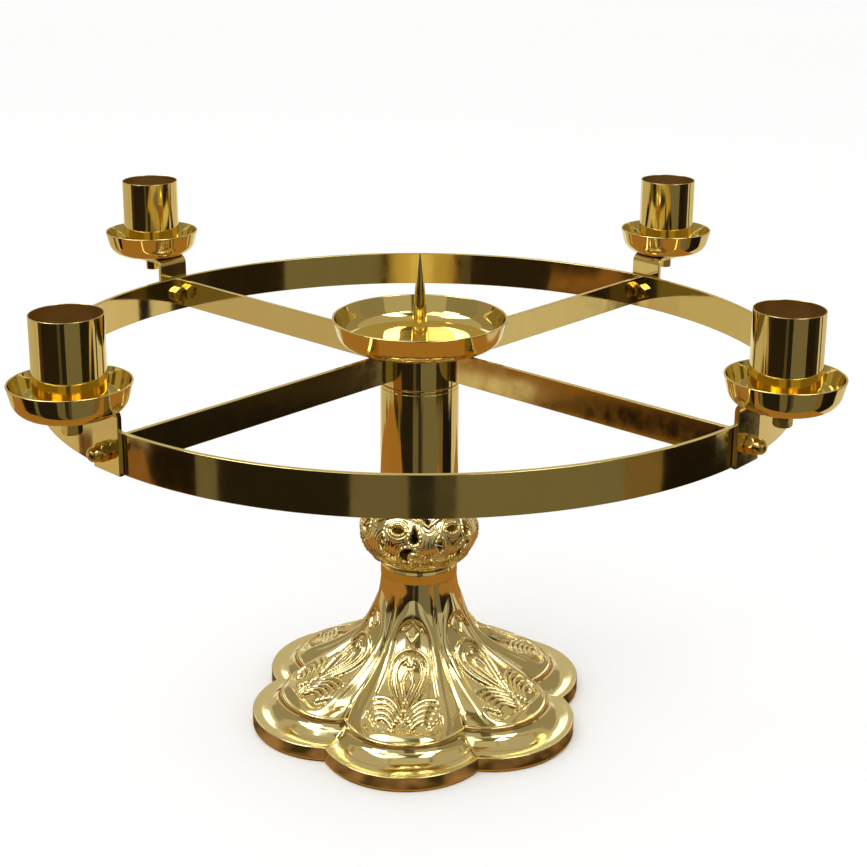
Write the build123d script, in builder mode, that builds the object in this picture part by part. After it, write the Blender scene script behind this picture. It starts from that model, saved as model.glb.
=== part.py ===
from build123d import *

import os
from math import asin, cos, degrees, radians, sin, sqrt

os.makedirs("parts", exist_ok=True)

# An advent candle holder in polished brass, in millimetres, Z up from the table, front towards -Y.
# A lobed foot carries a stem with a pierced knop. On the stem's top a wheel of four candle sockets
# turns round a spigot, held down by the drip pan of the middle candle and its spike.

# Clearances shared by all pieces
overrun = 5.0
seat_clearance = 0.05
running_clearance = 0.05
wheel_gap = 0.25

# Foot: six lobes, a rim, a cove, a bead and a flare of six petals that rises to the neck
lobe_count = 6
foot_turn = -9.5
foot_tip_radius = 120.0
foot_notch_radius = 103.0
foot_rim_height = 10.5
rim_ledge = 1.6
cove_height = 10.0
bead_tip_radius = 100.0
bead_notch_radius = 81.9
bead_thickness = 2.0
bead_ledge = 2.2
neck_height = 102.0
neck_radius = 26.6
foot_wall = 3.0
neck_plate = 6.0
flare_rise_shares = (0, 0.05, 0.10, 0.20, 0.30, 0.40, 0.55, 0.72, 0.86, 1)
flare_reach_shares = (1, 0.90, 0.80, 0.57, 0.39, 0.26, 0.145, 0.06, 0.02, 0)
notch_shares = (0.815, 0.85, 0.875, 0.905, 0.925, 0.935, 0.945, 0.95, 0.955, 0.955)
cove_turns = (0, 30, 60, 90)

# Recessed panel of each petal, as seen from above
panel_depth = 1.0
panel_top_radius = 31.5
panel_top_width = 23.0
panel_foot_radius = 85.0
panel_foot_width = 50.0
panel_foot_bow = 4.5
panel_corner = 4.0

# Tie rod with its washer and nut inside the neck
rod_radius = 5.0
rod_end_length = 4.0
rod_grip = 18.0
rod_washer_radius = 17.0
rod_washer_thickness = 2.5
rod_nut_flats = 16.0
rod_nut_height = 8.4

# Knop with a plain collar below and above it
collar_height = 9.0
collar_knop_radius = 25.6
knop_radius = 41.0
knop_half_height = 30.0
knop_wall = 2.6
knop_height = 47.0
knop_cut_start = 14.0
collar_register = 2.0
arch_count = 6
knop_turn = -22.0
spandrel_width = 9.5
spandrel_height = 5.0
spandrel_point = 15.4
eye_width = 9.5
eye_height = 4.2
eye_level = 11.8
eye_turn = -3.0
drop_radius = 3.1
drop_length = 7.6
drop_level = 7.0
drop_turn = 15.0
comma_width = 12.5
comma_height = 11.5
comma_level = -5.2
comma_turn = 9.0
comma_tail_share = (0.50, 0.26)
comma_crown_share = (-0.22, 0.44)
comma_cheek_share = (-0.50, -0.10)
comma_foot_share = (-0.30, -0.46)
comma_chin_share = (0.06, -0.48)
comma_throat_share = (0.00, 0.04)
slit_width = 4.6
slit_length = 10.5
slit_level = 1.6
slit_turn = -19.0

# Stem tube with the spigot plug that closes it and carries the wheel
tube_radius = 26.7
tube_wall = 1.8
tube_length = 71.5
collar_spigot = 6.0
plug_flange = 2.5
plug_depth = 12.0
journal_radius = 15.0

# Hub and spokes of the wheel
hub_height = 25.75
hub_radius = 27.0
hub_edge = 0.8
spoke_thickness = 3.0
spoke_height = 20.0
spoke_tongue = 5.0
spoke_angles = {"front_left": 225, "front_right": 315, "back_right": 45, "back_left": 135}

# Hoop of flat bar
hoop_radius = 250.0
hoop_thickness = 3.0
hoop_height = 25.0
hoop_stand = 2.5
hoop_edge = 0.4

# Angle brackets, one beside the end of each spoke, and the bolts through the hoop
bracket_offset = 7.0
bracket_sides = {"front_left": -1, "front_right": 1, "back_right": -1, "back_left": 1}
bracket_width = 25.0
bracket_thickness = 3.0
bracket_rise = 15.6
bracket_reach = 24.2
bracket_bend = 3.0
bolt_radius = 3.0
bolt_grip = 8.0
bolt_head_height = 4.0
fastener_flats = 10.0
cap_nut_hex_height = 5.5
cap_nut_length = 12.0
cap_nut_dome_radius = 4.75
cap_nut_hole_depth = 9.5

# Drip cup, candle socket, socket screw and nut
cup_rim_radius = 34.8
cup_height = 18.0
cup_lean = 4.6
cup_corner = 11.8
cup_wall = 1.2
socket_bore_radius = 20.0
socket_wall = 0.6
socket_height = 55.6
socket_floor = 5.0
screw_radius = 3.0
screw_head_radius = 6.0
screw_end_length = 0.6
nut_height = 9.0

# Drip pan of the middle candle and its spike
pan_rim_radius = 59.0
pan_height = 18.5
pan_lean = 5.6
pan_corner = 11.7
pan_wall = 1.5
spike_base_radius = 5.8
spike_length = 60.25
spike_waist_radius = 3.1
spike_waist_height = 38.6
spike_point_radius = 0.5
stud_radius = 4.0
stud_length = 14.0

# Levels that the pieces stack up to
cove_top = foot_rim_height + cove_height
flare_base = cove_top + bead_thickness
knop_base = neck_height + collar_height
knop_middle = knop_base + knop_height / 2
knop_top = knop_base + knop_height
tube_base = knop_top + collar_height
tube_top = tube_base + tube_length
hub_seat = tube_top + plug_flange
hub_base = hub_seat + wheel_gap
hub_top = hub_base + hub_height
spoke_base = hub_top - spoke_height
hoop_top = hub_top + hoop_stand
hoop_base = hoop_top - hoop_height
pan_seat = hub_top + wheel_gap
pan_floor = pan_seat + pan_wall
bolt_level = hoop_base + hoop_height / 2
bracket_top = hoop_top + bracket_rise
cup_floor = bracket_top + cup_wall
candle_floor = cup_floor + socket_floor
socket_top = cup_floor + socket_height
nut_base = bracket_top - bracket_thickness - nut_height
plug_base = tube_top - plug_depth
rod_foot = neck_height - neck_plate - rod_washer_thickness - rod_nut_height - rod_end_length

# Radii that several pieces share
flare_tip_radius = bead_tip_radius - bead_ledge
tube_bore_radius = tube_radius - tube_wall
spigot_radius = tube_bore_radius - seat_clearance
rod_hole_radius = rod_radius + seat_clearance
hub_bore_radius = journal_radius + running_clearance
hoop_inner_radius = hoop_radius - hoop_thickness
bolt_hole_radius = bolt_radius + seat_clearance
screw_hole_radius = screw_radius + seat_clearance
stud_hole_radius = stud_radius + seat_clearance
cup_radius = hoop_radius + bracket_reach
nut_seat = hoop_radius + bracket_thickness
head_seat = sqrt(hoop_inner_radius**2 - (fastener_flats / 2) ** 2)
knop_inner_share = sqrt(1 - (knop_height / 2 / (knop_half_height - knop_wall)) ** 2)
register_radius = (knop_radius - knop_wall) * knop_inner_share - seat_clearance
bracket_lean = degrees(asin(bracket_offset / hoop_radius))
bracket_angles = {name: spoke_angles[name] + side * bracket_lean for name, side in bracket_sides.items()}


def outwards(angle):
    """The level direction that points away from the middle axis at an angle."""
    return Vector(cos(radians(angle)), sin(radians(angle)), 0)


def upright_plane(angle, distance=0):
    """A standing plane: x runs outwards from a point at that distance, y runs up from the table."""
    direction = outwards(angle)
    return Plane(origin=direction * distance, x_dir=direction, z_dir=direction.cross(Vector(0, 0, 1)))


def facing_plane(angle, distance, height):
    """A standing plane that faces outwards: x runs round the object, y runs up."""
    direction = outwards(angle)
    middle = direction * distance + Vector(0, 0, height)
    return Plane(origin=middle, x_dir=Vector(0, 0, 1).cross(direction), z_dir=direction)


def upright_axis(angle, distance=0):
    """The vertical line through a point at that angle and distance."""
    return Axis(outwards(angle) * distance, (0, 0, 1))


def lobed_face(level, tip_radius, notch_radius):
    """The foot's outline at one level: an arc for each lobe, meeting its neighbours in a notch."""
    pitch = 360 / lobe_count
    with BuildSketch(Plane.XY.offset(level)) as outline:
        with BuildLine():
            for lobe in range(lobe_count):
                middle = foot_turn - 90 + lobe * pitch
                ThreePointArc(
                    outwards(middle - pitch / 2) * notch_radius,
                    outwards(middle) * tip_radius,
                    outwards(middle + pitch / 2) * notch_radius,
                )
        make_face()
    return outline.sketch


def flare_faces(inset, top_drop):
    """Outlines up the flare of the petals, set in from its outer face and dropped below it."""
    rise = neck_height - flare_base
    reach = flare_tip_radius - neck_radius
    faces = []
    for rise_share, reach_share, notch_share in zip(flare_rise_shares, flare_reach_shares, notch_shares):
        tip = neck_radius + reach_share * reach
        drop = inset + rise_share * (top_drop - inset)
        level = flare_base + rise_share * rise - drop
        faces.append(lobed_face(level, tip - inset, tip * notch_share - inset))
    return faces


def cove_faces(inset):
    """Outlines up the hollow quarter turn between the rim and the bead."""
    faces = []
    for turn in cove_turns:
        reach_share = 1 - sin(radians(turn))
        rise_share = 1 - cos(radians(turn))
        tip = bead_tip_radius + reach_share * (foot_tip_radius - rim_ledge - bead_tip_radius)
        notch = bead_notch_radius + reach_share * (foot_notch_radius - rim_ledge - bead_notch_radius)
        level = foot_rim_height + rise_share * cove_height - inset
        faces.append(lobed_face(level, tip - inset, notch - inset))
    return faces


def panel_face():
    """One petal's panel as seen from above, narrow at the neck, with a bowed foot."""
    with BuildSketch() as panel:
        with BuildLine():
            left_foot = (panel_foot_radius, panel_foot_width / 2)
            right_foot = (panel_foot_radius, -panel_foot_width / 2)
            left_top = (panel_top_radius, panel_top_width / 2)
            right_top = (panel_top_radius, -panel_top_width / 2)
            Polyline(left_foot, left_top, right_top, right_foot)
            ThreePointArc(right_foot, (panel_foot_radius + panel_foot_bow, 0), left_foot)
        make_face()
        fillet(panel.vertices().group_by(Axis.X)[-1], radius=panel_corner)
    return panel.sketch


# Panel cutters: what lies over the sunk ground of each petal's panel
with BuildPart() as panel_cutters:
    with BuildSketch(Plane.XY.offset(flare_base)):
        with PolarLocations(0, lobe_count, start_angle=foot_turn - 90):
            add(panel_face())
    extrude(amount=neck_height - flare_base)
    loft(sections=flare_faces(panel_depth, panel_depth), mode=Mode.SUBTRACT)

with BuildPart() as foot:
    extrude(to_extrude=lobed_face(0, foot_tip_radius, foot_notch_radius), amount=foot_rim_height)
    loft(sections=cove_faces(0))
    extrude(to_extrude=lobed_face(cove_top, bead_tip_radius, bead_notch_radius), amount=bead_thickness)
    loft(sections=flare_faces(0, 0))
    add(panel_cutters.part, mode=Mode.SUBTRACT)
    hollow = lobed_face(0, foot_tip_radius - foot_wall, foot_notch_radius - foot_wall)
    extrude(to_extrude=hollow, amount=foot_rim_height - foot_wall, mode=Mode.SUBTRACT)
    inner_faces = cove_faces(foot_wall) + flare_faces(foot_wall, neck_plate)
    loft(sections=inner_faces, ruled=True, mode=Mode.SUBTRACT)
    with Locations((0, 0, neck_height)):
        Hole(rod_hole_radius)
foot.part.label = "foot"
export_step(foot.part, "parts/foot.step")

# Washer and nut that draw the tie rod down inside the neck, and the rod up to the spigot plug
with BuildPart() as rod_washer:
    with BuildSketch(Plane.XY.offset(neck_height - neck_plate - rod_washer_thickness)):
        Circle(rod_washer_radius)
        Circle(rod_hole_radius, mode=Mode.SUBTRACT)
    extrude(amount=rod_washer_thickness)
rod_washer.part.label = "rod_washer"
export_step(rod_washer.part, "parts/rod_washer.step")

with BuildPart() as rod_nut:
    with BuildSketch(Plane.XY.offset(rod_foot + rod_end_length)):
        RegularPolygon(rod_nut_flats / 2, side_count=6, major_radius=False)
        Circle(rod_hole_radius, mode=Mode.SUBTRACT)
    extrude(amount=rod_nut_height)
rod_nut.part.label = "rod_nut"
export_step(rod_nut.part, "parts/rod_nut.step")

with BuildPart() as tie_rod:
    with BuildSketch(Plane.XY.offset(rod_foot)):
        Circle(rod_radius)
    extrude(amount=plug_base + rod_grip - rod_foot)
tie_rod.part.label = "tie_rod"
export_step(tie_rod.part, "parts/tie_rod.step")

# Collars: turned rings that centre the knop on the neck and the stem tube on the knop
with BuildPart() as neck_collar:
    with BuildSketch(upright_plane(0)):
        with BuildLine():
            Polyline(
                (rod_hole_radius, neck_height),
                (neck_radius, neck_height),
                (collar_knop_radius, knop_base),
                (register_radius, knop_base),
                (register_radius, knop_base + collar_register),
                (rod_hole_radius, knop_base + collar_register),
                close=True,
            )
        make_face()
    revolve(axis=Axis.Z)
neck_collar.part.label = "neck_collar"
export_step(neck_collar.part, "parts/neck_collar.step")

with BuildPart() as stem_collar:
    with BuildSketch(upright_plane(0)):
        with BuildLine():
            Polyline(
                (rod_hole_radius, knop_top - collar_register),
                (register_radius, knop_top - collar_register),
                (register_radius, knop_top),
                (collar_knop_radius, knop_top),
                (tube_radius, tube_base),
                (spigot_radius, tube_base),
                (spigot_radius, tube_base + collar_spigot),
                (rod_hole_radius, tube_base + collar_spigot),
                close=True,
            )
        make_face()
    revolve(axis=Axis.Z)
stem_collar.part.label = "stem_collar"
export_step(stem_collar.part, "parts/stem_collar.step")


def knop_plane(turn):
    """A plane that faces outwards inside the knop, turned from the front, level with its middle."""
    return facing_plane(knop_turn - 90 + turn, knop_cut_start, knop_middle)


def spandrel_face(turn):
    """The three-cornered opening between two arches."""
    with BuildSketch(knop_plane(turn)) as opening:
        with BuildLine():
            left = (-spandrel_width / 2, spandrel_point + spandrel_height)
            right = (spandrel_width / 2, spandrel_point + spandrel_height)
            Polyline(left, (0, spandrel_point), right, close=True)
        make_face()
    return opening.sketch


def eye_face(turn):
    """The eye-shaped opening under the crown of an arch."""
    left = (-eye_width / 2, eye_level)
    right = (eye_width / 2, eye_level)
    with BuildSketch(knop_plane(turn)) as opening:
        with BuildLine():
            ThreePointArc(left, (0, eye_level + eye_height / 2), right)
            ThreePointArc(right, (0, eye_level - eye_height / 2), left)
        make_face()
    return opening.sketch


def drop_face(turn):
    """A drop: a round foot with two tangents that meet in a point above it."""
    cosine = drop_radius / drop_length
    side = drop_radius * sqrt(1 - cosine**2)
    shoulder = drop_level + drop_radius * cosine
    tip = (0, drop_level + drop_length)
    with BuildSketch(knop_plane(turn)) as opening:
        with BuildLine():
            Polyline((-side, shoulder), tip, (side, shoulder))
            ThreePointArc((side, shoulder), (0, drop_level - drop_radius), (-side, shoulder))
        make_face()
    return opening.sketch


def comma_face(turn):
    """The comma-shaped eye of a scroll: a round body with a tail that points along the knop."""

    def point(share):
        return (share[0] * comma_width, comma_level + share[1] * comma_height)

    with BuildSketch(knop_plane(turn)) as opening:
        with BuildLine():
            ThreePointArc(point(comma_tail_share), point(comma_crown_share), point(comma_cheek_share))
            ThreePointArc(point(comma_cheek_share), point(comma_foot_share), point(comma_chin_share))
            ThreePointArc(point(comma_chin_share), point(comma_throat_share), point(comma_tail_share))
        make_face()
    return opening.sketch


def slit_face(turn):
    """The upright leaf-shaped slit between two scrolls."""
    low = (0, slit_level - slit_length / 2)
    high = (0, slit_level + slit_length / 2)
    with BuildSketch(knop_plane(turn)) as opening:
        with BuildLine():
            ThreePointArc(low, (slit_width / 2, slit_level), high)
            ThreePointArc(high, (-slit_width / 2, slit_level), low)
        make_face()
    return opening.sketch


# Knop: a pierced shell, an ellipse in section, cut off level where it sits on the collars
with BuildPart() as knop:
    with BuildSketch(upright_plane(0)):
        with Locations((0, knop_middle)):
            Ellipse(knop_radius, knop_half_height)
            Ellipse(knop_radius - knop_wall, knop_half_height - knop_wall, mode=Mode.SUBTRACT)
            Rectangle(
                knop_radius + overrun, knop_height, align=(Align.MIN, Align.CENTER), mode=Mode.INTERSECT
            )
    revolve(axis=Axis.Z)
    openings = []
    for arch in range(arch_count):
        turn = arch * 360 / arch_count
        openings += [
            spandrel_face(turn + 180 / arch_count),
            eye_face(turn + eye_turn),
            drop_face(turn + drop_turn),
            comma_face(turn + comma_turn),
            slit_face(turn + slit_turn),
        ]
    for opening in openings:
        extrude(to_extrude=opening, amount=knop_radius, mode=Mode.SUBTRACT)
knop.part.label = "knop"
export_step(knop.part, "parts/knop.step")

# Stem tube, and the plug in its top with the spigot that the wheel turns on
with BuildPart() as stem_tube:
    with BuildSketch(Plane.XY.offset(tube_base)):
        Circle(tube_radius)
        Circle(tube_bore_radius, mode=Mode.SUBTRACT)
    extrude(amount=tube_length)
stem_tube.part.label = "stem_tube"
export_step(stem_tube.part, "parts/stem_tube.step")

with BuildPart() as spigot_plug:
    with BuildSketch(upright_plane(0)):
        with BuildLine():
            Polyline(
                (0, plug_base),
                (spigot_radius, plug_base),
                (spigot_radius, tube_top),
                (tube_radius, tube_top),
                (tube_radius, hub_seat),
                (journal_radius, hub_seat),
                (journal_radius, pan_seat),
                (0, pan_seat),
                close=True,
            )
        make_face()
    revolve(axis=Axis.Z)
    with BuildSketch(Plane.XY.offset(plug_base)):
        Circle(rod_hole_radius)
    extrude(amount=rod_grip + seat_clearance, mode=Mode.SUBTRACT)
    with BuildSketch(Plane.XY.offset(pan_seat)):
        Circle(stud_hole_radius)
    extrude(amount=-stud_length - seat_clearance, mode=Mode.SUBTRACT)
spigot_plug.part.label = "spigot_plug"
export_step(spigot_plug.part, "parts/spigot_plug.step")


def bowl_face(plane, seat, rim_radius, height, lean, corner):
    """Half the section of a filled bowl: flat foot, round corner and a side that leans out to the rim."""
    rim = seat + height
    toe = (rim_radius - lean, seat)
    with BuildSketch(plane) as section:
        with BuildLine():
            Polyline((0, seat), toe, (rim_radius, rim), (0, rim), close=True)
        make_face()
        fillet(section.vertices().sort_by_distance(toe)[0], radius=corner)
    return section.sketch


# Drip pan of the middle candle, clamped on the spigot by the shoulder of the spike
with BuildPart() as drip_pan:
    section = bowl_face(upright_plane(0), pan_seat, pan_rim_radius, pan_height, pan_lean, pan_corner)
    revolve(profiles=section, axis=Axis.Z)
    offset(amount=-pan_wall, openings=drip_pan.faces().sort_by(Axis.Z)[-1])
    with Locations((0, 0, pan_floor)):
        Hole(stud_hole_radius)
drip_pan.part.label = "drip_pan"
export_step(drip_pan.part, "parts/drip_pan.step")

with BuildPart() as candle_spike:
    with BuildSketch(upright_plane(0)):
        with BuildLine():
            ThreePointArc(
                (spike_base_radius, pan_floor),
                (spike_waist_radius, pan_floor + spike_waist_height),
                (spike_point_radius, pan_floor + spike_length),
            )
            Polyline(
                (spike_point_radius, pan_floor + spike_length),
                (0, pan_floor + spike_length),
                (0, pan_seat - stud_length),
                (stud_radius, pan_seat - stud_length),
                (stud_radius, pan_floor),
                (spike_base_radius, pan_floor),
            )
        make_face()
    revolve(axis=Axis.Z)
candle_spike.part.label = "candle_spike"
export_step(candle_spike.part, "parts/candle_spike.step")

# Hub of the wheel, slotted for the spokes
with BuildPart() as hub:
    with BuildSketch(Plane.XY.offset(hub_base)):
        Circle(hub_radius)
        Circle(hub_bore_radius, mode=Mode.SUBTRACT)
    extrude(amount=hub_height)
    rims = hub.edges().filter_by(GeomType.CIRCLE).filter_by(lambda edge: edge.radius > hub_bore_radius)
    chamfer(rims, length=hub_edge)
    for angle in spoke_angles.values():
        with BuildSketch(Plane.XY.offset(spoke_base).rotated((0, 0, angle))):
            with Locations((hub_radius - spoke_tongue, 0)):
                Rectangle(
                    spoke_tongue + overrun,
                    spoke_thickness + 2 * seat_clearance,
                    align=(Align.MIN, Align.CENTER),
                )
        extrude(amount=spoke_height + overrun, mode=Mode.SUBTRACT)
hub.part.label = "hub"
export_step(hub.part, "parts/hub.step")

# Spokes: flat bars on edge, let into the hub and butted against the hoop
for name, angle in spoke_angles.items():
    with BuildPart() as spoke:
        with BuildSketch(Plane.XY.offset(spoke_base).rotated((0, 0, angle))):
            with Locations((hub_radius - spoke_tongue, 0)):
                Rectangle(hoop_radius, spoke_thickness, align=(Align.MIN, Align.CENTER))
            Circle(hoop_inner_radius, mode=Mode.INTERSECT)
        extrude(amount=spoke_height)
    spoke.part.label = f"spoke_{name}"
    export_step(spoke.part, f"parts/spoke_{name}.step")

with BuildPart() as hoop:
    with BuildSketch(Plane.XY.offset(hoop_base)):
        Circle(hoop_radius)
        Circle(hoop_inner_radius, mode=Mode.SUBTRACT)
    extrude(amount=hoop_height)
    fillet(hoop.edges().filter_by(GeomType.CIRCLE), radius=hoop_edge)
    for angle in bracket_angles.values():
        with BuildSketch(facing_plane(angle, hoop_inner_radius - overrun, bolt_level)):
            Circle(bolt_hole_radius)
        extrude(amount=hoop_thickness + 2 * overrun, mode=Mode.SUBTRACT)
hoop.part.label = "hoop"
export_step(hoop.part, "parts/hoop.step")

# Brackets: a strip bent to an angle, one leg flat on the hoop, the other level under a drip cup
for name, angle in bracket_angles.items():
    with BuildPart() as bracket:
        with BuildSketch(upright_plane(angle)) as strip:
            with BuildLine():
                inner_bend = (hoop_radius + bracket_thickness, bracket_top - bracket_thickness)
                outer_bend = (hoop_radius, bracket_top)
                Polyline(
                    (hoop_radius, hoop_base),
                    outer_bend,
                    (cup_radius + bracket_width / 2, bracket_top),
                    (cup_radius + bracket_width / 2, bracket_top - bracket_thickness),
                    inner_bend,
                    (hoop_radius + bracket_thickness, hoop_base),
                    close=True,
                )
            make_face()
            fillet(strip.vertices().sort_by_distance(inner_bend)[0], radius=bracket_bend)
            fillet(strip.vertices().sort_by_distance(outer_bend)[0], radius=bracket_bend + bracket_thickness)
        extrude(amount=bracket_width / 2, both=True)
        with BuildSketch(Plane.XY.offset(hoop_base).rotated((0, 0, angle))):
            with Locations((cup_radius, 0)):
                Rectangle(cup_radius - hoop_inner_radius, bracket_width, align=(Align.MAX, Align.CENTER))
                Circle(bracket_width / 2)
        extrude(amount=bracket_top - hoop_base, mode=Mode.INTERSECT)
        with BuildSketch(facing_plane(angle, hoop_inner_radius, bolt_level)):
            Circle(bolt_hole_radius)
        extrude(amount=hoop_thickness + bracket_thickness + overrun, mode=Mode.SUBTRACT)
        with Locations(outwards(angle) * cup_radius + Vector(0, 0, bracket_top)):
            Hole(screw_hole_radius, depth=bracket_thickness + overrun)
    bracket.part.label = f"bracket_{name}"
    export_step(bracket.part, f"parts/bracket_{name}.step")

# Bolts through the hoop, heads inside with a flat towards the spoke, resting on the head's upright edges
with BuildPart() as hoop_bolts:
    for angle in bracket_angles.values():
        with BuildSketch(facing_plane(angle, head_seat, bolt_level)):
            RegularPolygon(fastener_flats / 2, side_count=6, major_radius=False, rotation=30)
        extrude(amount=-bolt_head_height)
        with BuildSketch(facing_plane(angle, head_seat, bolt_level)):
            Circle(bolt_radius)
        extrude(amount=nut_seat + bolt_grip - head_seat)
hoop_bolts.part.label = "hoop_bolts"
export_step(hoop_bolts.part, "parts/hoop_bolts.step")

# Cap nuts on the outer face of each bracket
with BuildPart() as cap_nuts:
    for angle in bracket_angles.values():
        with BuildSketch(facing_plane(angle, nut_seat, bolt_level)):
            RegularPolygon(fastener_flats / 2, side_count=6, major_radius=False)
        extrude(amount=cap_nut_hex_height)
        dome_base = nut_seat + cap_nut_hex_height
        dome_end = nut_seat + cap_nut_length
        dome_start = dome_end - cap_nut_dome_radius
        with BuildSketch(upright_plane(angle)):
            with BuildLine():
                Polyline(
                    (dome_end, bolt_level),
                    (dome_base, bolt_level),
                    (dome_base, bolt_level + cap_nut_dome_radius),
                    (dome_start, bolt_level + cap_nut_dome_radius),
                )
                RadiusArc(
                    (dome_start, bolt_level + cap_nut_dome_radius),
                    (dome_end, bolt_level),
                    cap_nut_dome_radius,
                )
            make_face()
        revolve(axis=Axis((0, 0, bolt_level), outwards(angle)))
        with BuildSketch(facing_plane(angle, nut_seat, bolt_level)):
            Circle(bolt_hole_radius)
        extrude(amount=cap_nut_hole_depth, mode=Mode.SUBTRACT)
cap_nuts.part.label = "cap_nuts"
export_step(cap_nuts.part, "parts/cap_nuts.step")

# Drip cups on the brackets
for name, angle in bracket_angles.items():
    with BuildPart() as drip_cup:
        plane = upright_plane(angle, cup_radius)
        section = bowl_face(plane, bracket_top, cup_rim_radius, cup_height, cup_lean, cup_corner)
        revolve(profiles=section, axis=upright_axis(angle, cup_radius))
        offset(amount=-cup_wall, openings=drip_cup.faces().sort_by(Axis.Z)[-1])
        with Locations(outwards(angle) * cup_radius + Vector(0, 0, cup_floor)):
            Hole(screw_hole_radius)
    drip_cup.part.label = f"drip_cup_{name}"
    export_step(drip_cup.part, f"parts/drip_cup_{name}.step")

# Candle sockets: thin tubes with a thick floor, countersunk for the screw
for name, angle in bracket_angles.items():
    with BuildPart() as candle_socket:
        sink_radius = screw_head_radius + seat_clearance
        with BuildSketch(upright_plane(angle, cup_radius)):
            with BuildLine():
                Polyline(
                    (screw_hole_radius, cup_floor),
                    (socket_bore_radius + socket_wall, cup_floor),
                    (socket_bore_radius + socket_wall, socket_top),
                    (socket_bore_radius, socket_top),
                    (socket_bore_radius, candle_floor),
                    (sink_radius, candle_floor),
                    (screw_hole_radius, candle_floor - sink_radius + screw_hole_radius),
                    close=True,
                )
            make_face()
        revolve(axis=upright_axis(angle, cup_radius))
    candle_socket.part.label = f"candle_socket_{name}"
    export_step(candle_socket.part, f"parts/candle_socket_{name}.step")

# Countersunk screws through socket, cup and bracket, with their nuts underneath
with BuildPart() as socket_screws:
    for angle in bracket_angles.values():
        with BuildSketch(upright_plane(angle, cup_radius)):
            with BuildLine():
                Polyline(
                    (0, nut_base - screw_end_length),
                    (screw_radius, nut_base - screw_end_length),
                    (screw_radius, candle_floor - screw_head_radius + screw_radius),
                    (screw_head_radius, candle_floor),
                    (0, candle_floor),
                    close=True,
                )
            make_face()
        revolve(axis=upright_axis(angle, cup_radius))
socket_screws.part.label = "socket_screws"
export_step(socket_screws.part, "parts/socket_screws.step")

with BuildPart() as socket_nuts:
    with BuildSketch(Plane.XY.offset(nut_base)):
        for angle in bracket_angles.values():
            with Locations(Location(outwards(angle) * cup_radius, (0, 0, angle))):
                RegularPolygon(fastener_flats / 2, side_count=6, major_radius=False)
                Circle(screw_hole_radius, mode=Mode.SUBTRACT)
    extrude(amount=nut_height)
socket_nuts.part.label = "socket_nuts"
export_step(socket_nuts.part, "parts/socket_nuts.step")
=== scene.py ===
# %% [markdown]
# # Advent candle holder in polished brass
#
# This lesson dresses the imported CAD model of a brass advent candle holder.
# Each step rebuilds some of its pieces as smooth meshes in the same frame and gives them a finish.
# Sizes are in millimetres and turn into metres where a mesh is made.
# The first step loads the imported model, which is the fixed frame, and gives a helper that reads the box of
# any of its nodes.

from math import acos, atan2, cos, pi, radians, sin, sqrt, tan

import bpy
import numpy as np
from mathutils import Matrix, Vector


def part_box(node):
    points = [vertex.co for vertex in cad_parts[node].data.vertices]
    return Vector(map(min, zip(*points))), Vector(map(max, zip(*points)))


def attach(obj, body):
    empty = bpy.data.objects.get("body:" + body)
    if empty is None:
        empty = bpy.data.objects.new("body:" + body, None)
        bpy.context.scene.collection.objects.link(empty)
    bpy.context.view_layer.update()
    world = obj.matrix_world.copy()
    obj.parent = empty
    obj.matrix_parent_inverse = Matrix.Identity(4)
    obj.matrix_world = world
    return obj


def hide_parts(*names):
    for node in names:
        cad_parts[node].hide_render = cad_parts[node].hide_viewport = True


MM = 0.001
NAMES = ("front_left", "front_right", "back_right", "back_left")

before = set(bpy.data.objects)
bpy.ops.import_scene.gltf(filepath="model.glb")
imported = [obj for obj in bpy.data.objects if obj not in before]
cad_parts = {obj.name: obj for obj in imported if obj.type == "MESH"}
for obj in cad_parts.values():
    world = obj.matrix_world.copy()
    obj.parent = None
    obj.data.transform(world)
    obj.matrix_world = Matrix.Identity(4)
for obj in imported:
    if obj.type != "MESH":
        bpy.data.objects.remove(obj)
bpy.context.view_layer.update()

# %% [markdown]
# Most sizes come from the boxes of the CAD nodes, so the looks stay on the frame.
# They could be typed in again, but then a change of the frame would leave the looks behind.
# A piece's middle matters as much as its size, because cups, nuts and bolts sit round the hoop.

# %% Read sizes from the frame
def low(node):
    """The lowest corner of a CAD node's box in millimetres."""
    return np.array(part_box(node)[0]) / MM


def high(node):
    """The highest corner of a CAD node's box in millimetres."""
    return np.array(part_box(node)[1]) / MM


cup_middles = {name: (low("drip_cup_" + name) + high("drip_cup_" + name)) / 2 for name in NAMES}
cup_angles = {name: atan2(middle[1], middle[0]) for name, middle in cup_middles.items()}
cup_distance = np.mean([np.hypot(*middle[:2]) for middle in cup_middles.values()])
print("Cup centres lie", round(cup_distance, 2), "mm from the axis, at",
      {name: round(np.degrees(angle), 1) for name, angle in cup_angles.items()})

# %% [markdown]
# Colours are written as the sRGB hex codes that a paint program shows. Blender's sockets take linear light,
# so one function turns the one into the other. A second small function adds a shader node with its settings
# and its links, which keeps a material short enough to read.

# %% Colour and node helpers
def colour(code):
    """A hex colour such as #D8B25A as linear light with full cover."""
    parts = [int(code[place:place + 2], 16) / 255 for place in (1, 3, 5)]
    linear = [part / 12.92 if part <= 0.04045 else ((part + 0.055) / 1.055) ** 2.4 for part in parts]
    return (*linear, 1.0)


def add(tree, kind, links=None, **settings):
    """Adds a node. Settings named i0, i1 and so on fill its inputs, the others are its own options."""
    node = tree.nodes.new(kind)
    for name, value in settings.items():
        if name[0] == "i" and name[1:].isdigit():
            node.inputs[int(name[1:])].default_value = value
        else:
            setattr(node, name, value)
    for name, socket in (links or {}).items():
        tree.links.new(socket, node.inputs[name])
    return node


print("Brass tone", [round(part, 3) for part in colour("#D8B25A")[:3]])
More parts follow.
